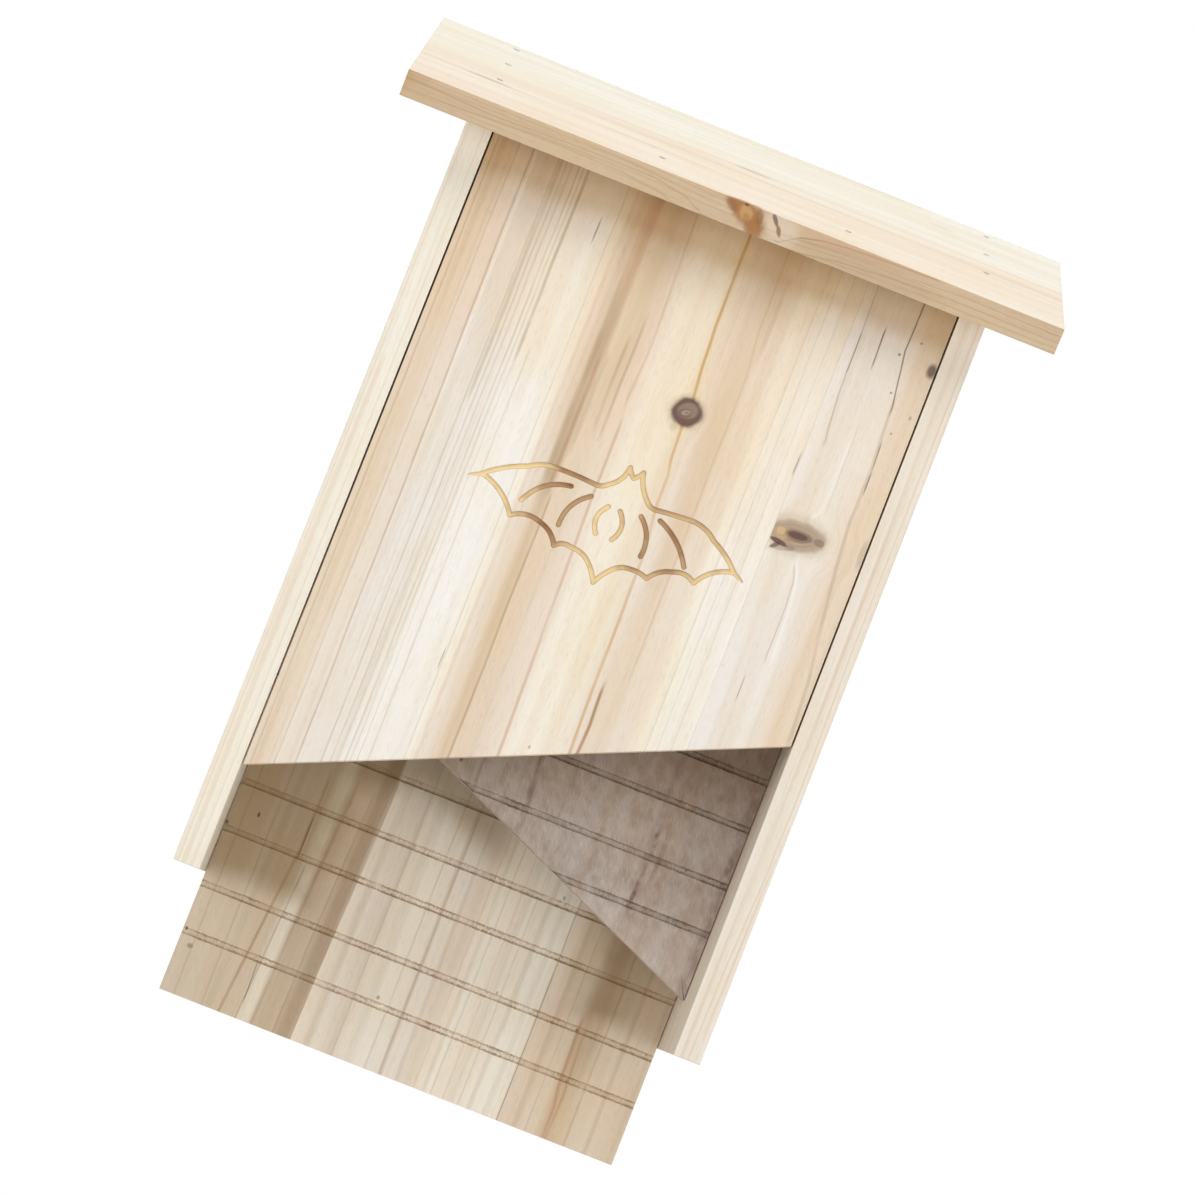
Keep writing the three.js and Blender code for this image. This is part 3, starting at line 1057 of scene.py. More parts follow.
def grooved_board(node, first, scene, top_slope):
    """A grooved upright board's mesh, before its bottom is slanted or its keyhole is cut."""
    boards = scene.bat_box_boards
    board, low, high = upright_board(node)
    ease = boards.ease
    bottom, top = low.z + ease, high.z - ease
    heights = groove_heights(low.z + first, high.z - board.thickness * top_slope, boards)
    columns = grid_lines(ease, board.width - ease, GROOVED_STEPS[0])
    rows = grid_lines(bottom, top, GROOVED_STEPS[1], groove_rows(heights, boards))

    def shape(across, along, depth):
        slanted_top = top + (depth - board.thickness) * top_slope
        return slanted(along, bottom, top, bottom + ease, high.z - GROOVED_MARGIN, bottom, slanted_top)

    points, marks = board_grid(board, columns, rows, ease, groove_cut(heights, boards), shape)
    front = points[..., 1] < low.y + boards.groove_depth + FACE_TOLERANCE
    marks["grooved"] = np.where(front, groove_marks(points[..., 2], heights, boards), 0)
    return grid_mesh(f"{node}_wood", points, marks), low, high


def trim_bottom(mesh, point, normal, ease):
    """Cuts away what lies beyond a plane, closes the cut with one flat face and eases its edges."""
    work = bmesh.new()
    work.from_mesh(mesh)
    everything = work.verts[:] + work.edges[:] + work.faces[:]
    cut = bmesh.ops.bisect_plane(work, geom=everything, plane_co=point, plane_no=normal, clear_outer=True)
    rim = [item for item in cut["geom_cut"] if isinstance(item, bmesh.types.BMEdge)]
    end = bmesh.ops.edgeloop_fill(work, edges=rim)["faces"]
    bmesh.ops.bevel(
        work, geom=list(end[0].edges), offset=ease, offset_type="OFFSET", segments=EASE_SEGMENTS,
        profile=ROUND_PROFILE, affect="EDGES",
    )
    bmesh.ops.recalc_face_normals(work, faces=work.faces)
    mark = work.verts.layers.float["end"]
    for vertex in work.verts:
        if abs((vertex.co - point).dot(normal)) < ease * END_SHARE:
            vertex[mark] = 1.0
    work.to_mesh(mesh)
    work.free()


class BATBOX_OT_middle_board(bpy.types.Operator):
    """Makes the middle board, grooved across its face, with its bottom edge low at the right"""

    bl_idname = "bat_box.middle_board"
    bl_label = "Middle Board"

    def execute(self, context):
        scene = context.scene
        boards = scene.bat_box_boards
        mesh, low, high = grooved_board("middle_board", boards.middle_inset, scene, 0.0)
        slope = boards.baffle_slope
        normal = Vector((-math.sin(slope), 0, -math.cos(slope)))
        trim_bottom(mesh, Vector((high.x, low.y, low.z)), normal, boards.ease)
        material = middle_fir(low.y, scene.bat_box_tones)
        settle_shading(add_piece(mesh, material, "middle_board"), SHARP_ANGLE)
        return {"FINISHED"}


def slot_mesh(name, width, low, high, near, far):
    """A solid with a slot's outline, round at both ends, from y = near to y = far.

    The outline is a half circle over the upper end and one under the lower end, carried along Y.
    """
    turn = np.linspace(0, math.pi, SLOT_POINTS)
    x = np.concatenate((np.cos(turn), -np.cos(turn))) * width / 2
    z = np.concatenate((high + np.sin(turn) * width / 2, low - np.sin(turn) * width / 2))
    points = np.stack((np.tile(x, (2, 1)), np.repeat([[near], [far]], len(x), 1), np.tile(z, (2, 1))), -1)
    return grid_mesh(name, points, {})


def cut_away(piece, cutters):
    """Cuts the cutters' shapes out of a piece and throws the cutters away."""
    for mesh in cutters:
        cutter = bpy.data.objects.new(mesh.name, mesh)
        bpy.context.scene.collection.objects.link(cutter)
        boolean = piece.modifiers.new("Cut", "BOOLEAN")
        boolean.operation = "DIFFERENCE"
        boolean.solver = "EXACT"
        boolean.object = cutter
        bpy.context.view_layer.update()
        shaped = bpy.data.meshes.new_from_object(piece.evaluated_get(bpy.context.evaluated_depsgraph_get()))
        piece.modifiers.remove(boolean)
        piece.data = shaped
        bpy.data.objects.remove(cutter)


class BATBOX_OT_back_board(bpy.types.Operator):
    """Makes the back board: grooved landing, bevelled top and the keyhole in its rear face"""

    bl_idname = "bat_box.back_board"
    bl_label = "Back Board"

    def execute(self, context):
        scene = context.scene
        boards = scene.bat_box_boards
        slope = math.tan(boards.roof_slope)
        mesh, low, high = grooved_board("back_board", boards.back_inset, scene, slope)
        material = back_fir(low.y, scene.bat_box_tones)
        piece = add_piece(mesh, material, "back_board")
        hung = [mount for mount in frame["record"]["mounts"] if mount["name"] == "hanging_keyhole"]
        top = hung[0]["pos_m"][2]
        entry = top - boards.keyhole_travel
        lip = high.y - boards.keyhole_lip
        deep = lip - boards.keyhole_room
        wide, narrow = boards.keyhole_entry, boards.keyhole_neck
        past = high.y + OVERRUN
        cut_away(piece, (
            slot_mesh("entry", wide, entry, entry + SLOT_OVERLAP, deep, past),
            slot_mesh("neck", narrow, entry, top, deep + SLOT_OVERLAP, past),
            slot_mesh("undercut", wide, entry, top, deep - SLOT_OVERLAP, lip),
        ))
        settle_shading(piece, SHARP_ANGLE)
        return {"FINISHED"}


# Brads

BRAD_SHARP_ANGLE = math.radians(35)
BRAD_SIDES = 24
BRAD_RIM = 0.12 * MM
# The dimple in a brad's head, as shares of the head's radius and depths
DIMPLE = ((0.0, 0.06 * MM), (0.45, 0.05 * MM), (0.55, 0.0))
POINT_SHARE = 0.35
POINT_TIP = 0.3 * MM


def edge_brads(side):
    """Names of the brads driven through one side board."""
    return sorted(node for node in frame["nodes"] if f"_brad_{side}_" in node and not node.startswith("roof"))


def roof_brads():
    """Names of the brads driven down through the roof."""
    return sorted(node for node in frame["nodes"] if node.startswith("roof_brad"))


def brad_outward(node, boards):
    """The direction in which a brad's head faces."""
    if node in roof_brads():
        return Vector((0, -math.sin(boards.roof_slope), math.cos(boards.roof_slope)))
    return Vector((-1, 0, 0)) if "_left_" in node else Vector((1, 0, 0))


def brad_head(node, scene):
    """The middle of a brad's head where it meets the wood's surface, from its node's box."""
    low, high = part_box(node)
    radius = scene.bat_box_brads.head_width / 2
    outward = brad_outward(node, scene.bat_box_boards)
    if outward.x:
        top = Vector((high.x if outward.x > 0 else low.x, (low.y + high.y) / 2, (low.z + high.z) / 2))
    else:
        top = Vector(((low.x + high.x) / 2, low.y + radius * outward.z, high.z + radius * outward.y))
    return top + outward * scene.bat_box_brads.set_depth


def brad_mesh(name, top, outward, long, brads):
    """A brad as a profile turned round its axis: a rimmed head, a wire shank and a tapered point."""
    head, shank = brads.head_width / 2, brads.shank_width / 2
    thick, rim = brads.head_thickness, BRAD_RIM
    profile = np.array((
        *((head * share, depth) for share, depth in DIMPLE), (head - rim, 0.0), (head, rim),
        (head, thick - rim), (head - rim, thick), (shank, thick + rim),
        (shank, long - brads.point_length), (shank * POINT_SHARE, long - POINT_TIP), (0.0, long),
    ))
    turn = np.linspace(0, 2 * math.pi, BRAD_SIDES, endpoint=False)
    out = np.array(outward)
    first = np.cross(out, (0.0, 1.0, 0.0))
    first /= np.linalg.norm(first)
    second = np.cross(out, first)
    spokes = np.cos(turn)[:, None] * first + np.sin(turn)[:, None] * second
    points = np.array(top) + profile[:, None, :1] * spokes - profile[:, None, 1:] * out
    return grid_mesh(name, points, {})


class BATBOX_OT_brads(bpy.types.Operator):
    """Makes every brad, its head set just below the wood"""

    bl_idname = "bat_box.brads"
    bl_label = "Brads"

    def execute(self, context):
        scene = context.scene
        brads = scene.bat_box_brads
        steel = brad_steel(scene.bat_box_tones)
        low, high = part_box("back_brad_left_1")
        for node in roof_brads() + edge_brads("left") + edge_brads("right"):
            outward = brad_outward(node, scene.bat_box_boards)
            top = brad_head(node, scene) - outward * brads.set_depth
            mesh = brad_mesh(f"{node}_wire", top, outward, high.x - low.x, brads)
            settle_shading(add_piece(mesh, steel, node), BRAD_SHARP_ANGLE)
        return {"FINISHED"}


# Finishes of the boards. Places are in millimetres, across from the middle and up from the wall point.

FRONT_STAVES = (
    # place across, tone, strength of the growth lines
    (-108, "beige", 0.45), (-98, "beige", 0.45), (-94.6, "blush", 0.35), (-88.2, "blush", 0.35),
    (-87.2, "pearl", 0.45), (-72, "pearl", 0.95), (-63.7, "white", 0.95), (-62.7, "white", 0.2),
    (-47, "white", 0.25), (-41, "cream", 0.3), (-38, "blush", 0.3), (-34, "beige", 0.35),
    (-30, "tan", 0.35), (-26.5, "beige", 0.35), (-22, "beige", 0.3), (-13, "blush", 0.25),
    (-3, "cream", 0.15), (6, "cream", 0.15), (12, "ivory", 0.2), (20, "blush", 0.25),
    (30, "beige", 0.3), (38, "blush", 0.25), (46, "cream", 0.25), (56, "white", 0.25),
    (66, "white", 0.25), (67, "pearl", 0.25), (86, "pearl", 0.25), (95, "blush", 0.3),
    (98, "beige", 0.3), (108, "beige", 0.3),
)
FRONT_JOINTS = (-88, -63.2, 66.4)
FRONT_STREAKS = (
    # tone, then lines: half width, strength, and places across and up from the low end on
    ("tan", (
        (5.0, 0.75, (-21.0, 104), (-21.0, 190)),
        (3.6, 0.40, (-16.0, 110), (-16.4, 190)),
        (3.6, 0.40, (-29.5, -60), (-31.0, 60)),
        (6.0, 0.35, (28.0, 40), (27.0, 190)),
    )),
    ("rose", (
        (3.0, 0.40, (-31.0, 110), (-30.8, 190)),
        (0.8, 0.50, (-33.0, 110), (-33.4, 190)),
        (0.9, 0.55, (-29.6, 104), (-29.2, 150), (-29.0, 190)),
        (1.0, 0.26, (-40.2,)),
        (0.6, 0.35, (32.4, -20), (32.4, 52), (32.0, 116), (30.0, 136), (29.2, 190)),
        (1.2, 0.40, (34.0, 134), (34.0, 156)),
        (0.8, 0.60, (-8.0, -80), (-9.0, -25), (-10.8, 40), (-11.0, 74)),
        (0.7, 0.45, (-12.0, 90), (-11.0, 110), (-13.2, 190)),
    )),
    ("moss", (
        (3.2, 0.66, (-31.2, 50), (-31.3, 118)),
        (1.2, 0.40, (-26.8, 66), (-26.8, 96)),
    )),
    ("umber", (
        (1.6, 0.26, (-32.4, 52), (-32.6, 104)),
        (1.0, 0.36, (-29.6, 46), (-29.4, 96)),
        (0.6, 0.45, (-27.2, -90), (-27.6, 34)),
        (0.9, 0.36, (-20.8, 76), (-21.0, 108)),
        (0.8, 0.34, (-17.2, 74), (-17.2, 120)),
        (0.5, 0.40, (-86.8, -130), (-88.8, 190)),
        (0.8, 0.80, (23.2, -62), (24.0, -48), (23.4, -34)),
    )),
    ("olive", (
        (0.5, 0.35, (-104.4,)),
        (0.4, 0.30, (-95.2,)),
        (0.5, 0.32, (-77.0,)),
        (1.0, 0.34, (-75.4, 70), (-75.6, 190)),
        (0.5, 0.30, (-73.2,)),
        (0.5, 0.24, (-70.8,)),
        (0.5, 0.32, (-67.6,)),
        (0.5, 0.22, (-65.6,)),
        (0.8, 0.55, (-63.3, 92), (-63.3, 190)),
        (0.4, 0.24, (-58.8, -120), (-58.8, 90)),
        (0.4, 0.24, (-44.6,)),
        (0.4, 0.20, (49.5,)),
        (0.4, 0.16, (54.2,)),
        (0.4, 0.16, (60.0,)),
    )),
    ("resin", (
        (0.8, 0.65, (20.4, -80), (18.6, 30), (16.0, 52), (16.0, 64), (14.8, 72), (14.0, 88)),
        (0.8, 0.85, (14.4, 98), (12.8, 112), (11.6, 132), (11.4, 190)),
    )),
    ("moss", (
        (0.9, 0.48, (105.4, -20), (104.0, 4), (100.4, 30), (97.4, 56), (96.0, 74), (96.4, 100), (95.2, 127)),
        (0.4, 0.45, (83.4, 8), (83.4, 30), (82.6, 42), (80.6, 48.0)),
        (0.4, 0.25, (84.8, 76), (84.6, 112)),
    )),
    ("white", (
        (0.8, 0.80, (86.2, 10), (85.2, 28), (84.2, 40), (82.4, 46.5), (80.8, 50.0)),
        (0.8, 0.50, (80.4, 70.5), (82.6, 74), (83.6, 86), (83.8, 104)),
    )),
    ("bark", (
        (0.3, 0.15, (-63.0, -120), (-63.2, 100)),
        (0.2, 0.16, (66.4, -60), (66.4, 190)),
        (0.4, 0.70, (-50.8, 149), (-50.8, 154)),
        (0.4, 0.30, (73.4, 104), (72.8, 108), (71.6, 124), (71.2, 148), (70.4, 190)),
        (0.4, 0.60, (71.4, 136), (71.2, 150)),
        (0.4, 0.75, (80.8, 143), (80.2, 155)),
        (0.4, 0.65, (95.4, 127), (91.6, 152), (92.4, 190)),
        (0.4, 0.70, (96.8, 102), (96.6, 108)),
        (0.4, 0.75, (97.0, 91), (97.0, 95)),
        (0.3, 0.40, (78.0, -12), (78.0, -6)),
        (0.3, 0.45, (-45.4, -46), (-45.4, -42)),
        (0.4, 0.50, (65.6, 87), (65.6, 91)),
    )),
)
FRONT_SPOTS = (
    # strength, place across, place up, half width, half height
    (0.85, 105.4, 148, 3.0, 4.6), (0.60, 97, 157.7, 0.8, 0.8), (0.70, 89.8, 149.7, 0.9, 0.9),
    (0.55, 92.4, 132.9, 0.8, 0.8), (0.45, 98.8, 116.5, 0.7, 0.8), (0.45, 104, 125.7, 0.8, 1.4),
    (0.40, 3.2, -65.7, 0.8, 1.2), (0.25, 106, 63, 2.2, 9), (0.15, 10.4, 84.6, 2.4, 2.6),
)
ROUND_KNOT = (13.6, 92.6, 6.9, 6.7)
ROUND_KNOT_PATCHES = (
    # tone, strength, place across, place up, half width, half height, tilt in degrees
    ("olive", 0.30, 13.6, 92.6, 8.6, 7.8, 24),
    ("bark", 0.92, 13.7, 92.6, 6.9, 6.2, 26),
    ("plum", 0.75, 13.6, 92.7, 5.6, 4.9, 26),
    ("heart", 0.65, 14.0, 93.3, 4.6, 3.4, 26),
    ("plum", 0.55, 12.6, 91.4, 3.8, 2.2, 30),
    ("dun", 0.30, 13.5, 92.3, 2.0, 1.1, 24),
    ("plum", 0.55, 13.9, 92.4, 1.1, 0.5, 10),
)
EYE_KNOT = (77.0, 60.3, 12.4, 6.9)
EYE_KNOT_PATCHES = (
    ("olive", 0.24, 77.0, 60.3, 15.0, 9.6, 7),
    ("moss", 0.66, 76.8, 60.2, 12.4, 6.9, 7),
    ("plum", 0.34, 77.0, 60.2, 12.0, 6.3, 7),
    ("moss", 0.66, 76.6, 60.3, 11.0, 5.5, 7),
    ("plum", 0.34, 76.4, 60.3, 9.9, 4.7, 7),
    ("dun", 0.30, 76.2, 60.4, 9.0, 3.9, 7),
    ("plum", 0.26, 76.4, 60.5, 7.9, 3.3, 7),
    ("resin", 0.42, 70.6, 59.6, 3.6, 2.8, 0),
    ("gold", 0.30, 70.0, 60.2, 2.0, 1.6, 0),
    ("ember", 0.26, 75.0, 57.6, 3.0, 0.9, 10),
    ("plum", 0.50, 87.0, 61.0, 2.4, 1.5, 0),
    ("plum", 0.60, 77.8, 60.5, 6.2, 2.5, 4),
    ("bark", 0.78, 77.4, 60.6, 4.4, 1.5, 4),
    ("bark", 0.85, 70.4, 55.4, 4.2, 1.1, -8),
    ("bark", 0.70, 69.6, 53.6, 2.4, 1.0, 40),
    ("plum", 0.35, 72.8, 53.6, 5.4, 1.4, 14),
)
KNOT_SOFT_SHARE = 0.17
UPPER_SHADE = (0.98, 0.93, 0.86)
# Painted shade: the roof's shadow on the front board under the eave, soft and then stronger at the top
EAVE_PAINTED_SHADE = (0.86, 0.80, 0.72)
EAVE_CORE_PAINTED_SHADE = (0.77, 0.70, 0.60)


def streaked(finish, base, streaks, tones):
    """Lays each tone's lines over a base colour. They stray a little, and come and go along the grain."""
    spot = finish.across + (finish.noise("streaks stray") - 0.5) * 1.2
    present = rise(finish.noise("streaks present"), 0.25, 0.60) * 0.5 + 0.6
    for tone_name, table in streaks:
        strength = (finish.streaks(table, spot) * present).math("MINIMUM", 1.0)
        base = mix(strength, base, getattr(tones, tone_name))
    return base


def drawn_aside(spot, around, middle, reach, share):
    """Places across the grain, drawn towards a knot's middle by a share, so that the grain bends round it."""
    return spot - (spot - middle) * (rise(around, reach, 0.8) * share)


def routed(finish, base, tones):
    """The bat's line: a golden floor, browner in places, between thin scorched edges."""
    carved = finish.mark("carved")
    patchy = rise(finish.noise("browned"), 0.46, 0.66) * 0.22
    brown = finish.mark("browned") + patchy
    floor = mix(brown.math("MINIMUM", 1.0), tones.gold, tones.scorch)
    line = mix(rise(carved, 0.04, 0.26), base, floor)
    return mix(band(carved, 0.24, 0.08, 0.15) * (brown * 0.45 + 0.44), line, tones.scorch)


def front_fir(face, tones):
    """The front board: glued staves with streaks, knots and cracks, and the routed line.

    The grain is drawn aside round the knots, the upper part is yellower above a soft slanting
    boundary, and under the eave a painted shade, the roof's shadow, makes it browner and darker.
    The oval knot ends at the last joint.
    """
    finish = Finish("front fir", "XZY", corner=(0, face, 0))
    stave = staved(finish, FRONT_JOINTS)
    wobble = (finish.noise("knot rims") - 0.5) * 0.35
    last_stave = finish.across.math("GREATER_THAN", FRONT_JOINTS[-1])
    spot = grain_place(finish, stave + 3)
    spot = drawn_aside(spot, oval(finish.face, *ROUND_KNOT), ROUND_KNOT[0], 2.6, 0.4)
    spot = drawn_aside(spot, oval(finish.face, *EYE_KNOT), EYE_KNOT[0], 2.8, last_stave * 0.45)
    base, lines = ramp(finish.across, FRONT_STAVES, tones)
    upper = finish.along + finish.across * 0.41 + (finish.noise("upper boundary", spot) - 0.5) * 70
    base = shade(rise(upper, 28, 92) * (1.0 - last_stave * 0.6), base, UPPER_SHADE)
    colour_now, height, rough = fir(finish, base, lines, spot, stave + 2)
    colour_now = streaked(finish, colour_now, FRONT_STREAKS, tones)
    # Painted shade under the eave: the roof's shadow, browner and darker towards the top
    eave = finish.along + (finish.noise("eave boundary", spot) - 0.5) * 10
    colour_now = shade(rise(eave, 130, 172), colour_now, EAVE_PAINTED_SHADE)
    colour_now = shade(rise(eave, 152, 163), colour_now, EAVE_CORE_PAINTED_SHADE)
    colour_now = patches(colour_now, finish.face, ROUND_KNOT_PATCHES, wobble, KNOT_SOFT_SHARE, tones)
    eye = patches(colour_now, finish.face, EYE_KNOT_PATCHES, wobble, KNOT_SOFT_SHARE, tones)
    colour_now = mix(last_stave, colour_now, eye)
    colour_now = mix(finish.spots(FRONT_SPOTS), colour_now, tones.bark)
    return finish.finish(routed(finish, colour_now, tones), rough, height)


def pitted(finish, base, tones):
    """Darker, towards knot brown, on the walls and floors of the brads' pits."""
    return mix(rise(finish.mark("pressed"), 0.1, 0.9) * 0.6, base, tones.bark)


SIDE_JOINT = -62
SIDE_EDGE = -110
SIDE_STREAKS = (
    ("olive", (
        (0.4, 0.35, (-104,)), (0.3, 0.30, (-92,)), (0.5, 0.30, (-71,)),
        (0.4, 0.30, (-37,)), (0.4, 0.30, (-9,)),
    )),
    ("tan", ((3.0, 0.30, (-84,)), (2.0, 0.35, (-48,)), (4.0, 0.25, (-22,)))),
    ("bark", (
        (0.25, 0.30, (SIDE_JOINT,)),
        (0.3, 0.50, (-107, 12), (-107, 17)),
        (0.3, 0.40, (-101, -96), (-101, -90)),
    )),
)
SIDE_EDGE_LINES = {
    # tone, then lines on the front edge: half width, strength, and places (in from the outer face, up)
    "left": ("resin", (
        (1.4, 0.22, (4.6, -166), (3.8, -20), (4.4, 60)), (0.5, 0.20, (8.4, -166), (8.8, 180)),
        (0.5, 0.18, (2.0, -166), (1.6, 180)),
    )),
    "right": ("rose", (
        (0.5, 0.30, (-5.6, -166), (-4.6, -120), (-2.8, -84), (-2.2, -40), (-3.0, 20), (-2.6, 180)),
        (0.4, 0.24, (-2.8, -150), (-1.6, -100), (-1.0, -60)),
        (0.9, 0.20, (-8.6, -166), (-7.4, -90), (-6.4, 0), (-7.6, 180)),
    )),
}
SIDE_KNOTS = {"left": (-33, 52, 4.6, 5.4), "right": (-80, -48, 4.0, 5.0)}
SIDE_TONES = {"left": "straw", "right": "oat"}
SIDE_SEEDS = {"left": 4, "right": 31}


def side_fir(name, face, tones):
    """A side board: pale straight fir of two staves, one small knot, and a few lines on its front edge."""
    finish = Finish(f"{name} side fir", "YZX", corner=(face, 0, 0))
    stave = staved(finish, (SIDE_JOINT,)) + SIDE_SEEDS[name]
    around = oval(finish.face, *SIDE_KNOTS[name])
    spot = drawn_aside(grain_place(finish, stave, 3.0, 1.5), around, SIDE_KNOTS[name][0], 3.6, 0.6)
    colour_now, height, rough = fir(finish, getattr(tones, SIDE_TONES[name]), 0.6, spot, stave)
    colour_now = streaked(finish, colour_now, SIDE_STREAKS, tones)
    tone_name, lines = SIDE_EDGE_LINES[name]
    on_edge = rise(finish.across, SIDE_EDGE + 0.6, SIDE_EDGE + 0.2)
    colour_now = mix(finish.streaks(lines, finish.through) * on_edge, colour_now, getattr(tones, tone_name))
    outer = band(finish.through, 0, 3, 2)
    colour_now = mix(outer, colour_now, small_knot(colour_now, around, tones.umber, tones.dun))
    return finish.finish(pitted(finish, colour_now, tones), rough, height)


ROOF_TONES = (
    # place up the slope from the front edge, tone, strength of the growth lines
    (0, "shell", 0.25), (40, "shell", 0.18), (66, "shell", 0.18), (82, "chalk", 0.12), (139, "chalk", 0.12),
)
ROOF_STREAKS = (
    # tone, then lines: half width, strength, and places up the slope and across from the left on
    ("rose", (
        (3.5, 0.16, (57, -60), (56, 150)),
        (1.6, 0.22, (45, -150), (40, -20)),
        (1.0, 0.20, (33, -150), (36, -118), (40, -30)),
    )),
    ("dun", (
        (1.2, 0.40, (69, -90), (70, 150)),
        (0.8, 0.25, (84, 80), (84, 100)),
        (1.5, 0.20, (122, -60), (124, 10)),
    )),
)
ROOF_SPOTS = (
    # strength, place up the slope, place across, half sizes
    (0.30, 69.5, 4, 3.6, 13), (0.30, 69.0, 4, 2.0, 5), (0.34, 44, -118, 2.8, 14), (0.22, 44, -123, 1.8, 6),
    (0.30, 39, -41, 2.4, 0.6), (0.25, 41, 44, 2.4, 0.6), (0.16, 112, 92, 3.0, 8), (0.12, 137, 60, 3.0, 40),
)
# Painted shade on the roof's front edge, which faces down, away from the top light
ROOF_EDGE_PAINTED_SHADE = (0.72, 0.62, 0.50)
ROOF_EDGE_LINES = (
    # half width, strength, and places (up through the edge, across) from the left end on
    (0.4, 0.30, (-3.4, -150), (-5.4, -110), (-4.2, -70), (-4.4, -36), (-7.0, -21), (-11.6, -12)),
    (0.4, 0.25, (-8.0, -130), (-6.6, -90), (-7.4, -50), (-9.0, -34), (-12.0, -24)),
    (0.4, 0.65, (-10.6, 23), (-8.6, 26), (-5.4, 31), (-3.2, 40), (-2.0, 51), (-1.4, 64), (-0.6, 90)),
    (0.5, 0.30, (-11.6, 34), (-9.0, 50), (-7.4, 72), (-6.2, 100), (-6.6, 150)),
    (0.3, 0.30, (-4.0, 84), (-3.2, 110), (-3.6, 150)),
)
ROOF_KNOT_PATCHES = (
    # tone, strength, place across, place up through the edge, half width, half height, tilt in degrees
    ("rose", 0.42, 64.0, -1.0, 30.0, 3.6, 3),
    ("umber", 0.22, 62.0, -8.0, 34.0, 5.0, 0),
    ("buff", 0.30, 22.0, -5.0, 8.0, 6.0, -20),
    ("umber", 0.70, 5.4, -3.6, 10.6, 5.2, -30),
    ("ember", 0.68, 4.4, -3.0, 9.0, 4.0, -28),
    ("umber", 0.85, 10.4, -8.8, 5.6, 3.8, -55),
    ("ember", 0.50, 10.6, -8.0, 4.4, 2.8, -55),
    ("scorch", 0.50, -1.4, -2.8, 3.4, 2.0, -35),
    ("resin", 0.75, 5.6, -4.0, 3.6, 2.8, -60),
    ("ember", 0.45, 6.4, -6.2, 1.4, 2.0, 30),
    ("scorch", 0.55, 11.6, -3.6, 1.6, 3.6, 15),
    ("bark", 0.80, 4.6, -0.4, 1.0, 0.8, 0),
    ("bark", 0.75, 18.2, -2.2, 3.0, 0.9, -55),
    ("scorch", 0.80, 21.2, -6.2, 2.6, 0.9, -62),
)
ROOF_KNOT_SOFT_SHARE = 0.34
ROOF_KNOT_MIDDLE = 4.5
ROOF_KNOT_TOP = (0.7, 0.0, ROOF_KNOT_MIDDLE, 3.0, 10.0)


def roof_fir(board, slope, tones):
    """The roof board: very pale fir with its grain along the roof, and a resin-rich knot in its front edge.

    On the front edge the grain sags round the knot, with a few dark growth lines of its own, and a painted
    shade darkens that downward-facing edge.
    """
    finish = Finish("roof fir", "YXZ", slope, board.origin * (0, 1, 1))
    wobble = (finish.noise("roof knot rims") - 0.5) * 0.9
    sag = rise(abs(finish.along - ROOF_KNOT_MIDDLE), 60, 8) * rise(finish.across, 16, 1, 4.0)
    spot = grain_place(finish, 6) + sag
    base, lines = ramp(finish.across, ROOF_TONES, tones)
    colour_now, height, rough = fir(finish, base, lines, spot, 14, "side")
    colour_now = streaked(finish, colour_now, ROOF_STREAKS, tones)
    colour_now = mix(finish.spots(ROOF_SPOTS), colour_now, tones.umber)
    # Painted shade over the downward-facing front edge
    front = rise(finish.across, 0.5, 0.1)
    edge = shade(front, colour_now, ROOF_EDGE_PAINTED_SHADE)
    strength, *shape = ROOF_KNOT_TOP
    colour_now = mix(rise(oval(finish.face, *shape) + wobble, 1.2, 0.5, strength), colour_now, tones.ember)
    growth = rise(finish.noise("roof edge lines", finish.through + spot), 0.46, 0.64)
    edge = shade(growth * 0.35, edge, LINE_SHADE)
    edge = mix(finish.streaks(ROOF_EDGE_LINES, finish.through), edge, tones.umber)
    knot_place = flat(finish.along, finish.through)
    edge = patches(edge, knot_place, ROOF_KNOT_PATCHES, wobble * 0.5, ROOF_KNOT_SOFT_SHARE, tones)
    return finish.finish(pitted(finish, mix(front, colour_now, edge), tones), rough, height)


# Darker mottle and nap of the middle board, and the painted shade over its upper part
MIDDLE_MOTTLE_AND_PAINTED_SHADE = (0.78, 0.70, 0.62)
MIDDLE_STREAKS = (
    ("stain", (
        (1.6, 0.50, (13.0, -92), (11.6, -66)), (1.3, 0.55, (70.4, -109), (70.8, -98)),
        (1.3, 0.45, (75.4, -94), (75.4, -88)), (1.2, 0.50, (71.2, -84), (70.6, -75)),
        (2.4, 0.22, (71.0, -112), (69.0, -42)), (4.6, 0.38, (107.0, -142), (107.4, -100), (106.4, -60)),
        (2.2, 0.40, (106.6, -88), (106.6, -74)), (0.9, 0.40, (-11.7, -88), (-11.7, -74)),
    )),
    ("umber", (
        (4.0, 0.18, (20, -120), (21, -60)), (3.0, 0.16, (45, -120), (46, -50)),
        (6.0, 0.24, (78, -132), (75, -44)), (3.0, 0.22, (96, -140), (97, -50)),
        (7.0, 0.20, (60, -62), (60, -44)),
    )),
)
MIDDLE_SPOTS = (
    (0.75, -21, -79, 1.2, 1.5), (0.65, 70.3, -107, 1.6, 3.4), (0.55, 70.5, -78.7, 1.2, 1.6),
    (0.50, 70.9, -83.6, 1.2, 1.3), (0.40, 75.5, -89.2, 2.4, 1.8), (0.40, 105, -80, 2.0, 6),
    (0.35, 70.5, -101, 1.6, 2.4),
)
CHIP_SHADE = (1.3, 1.3, 1.3)


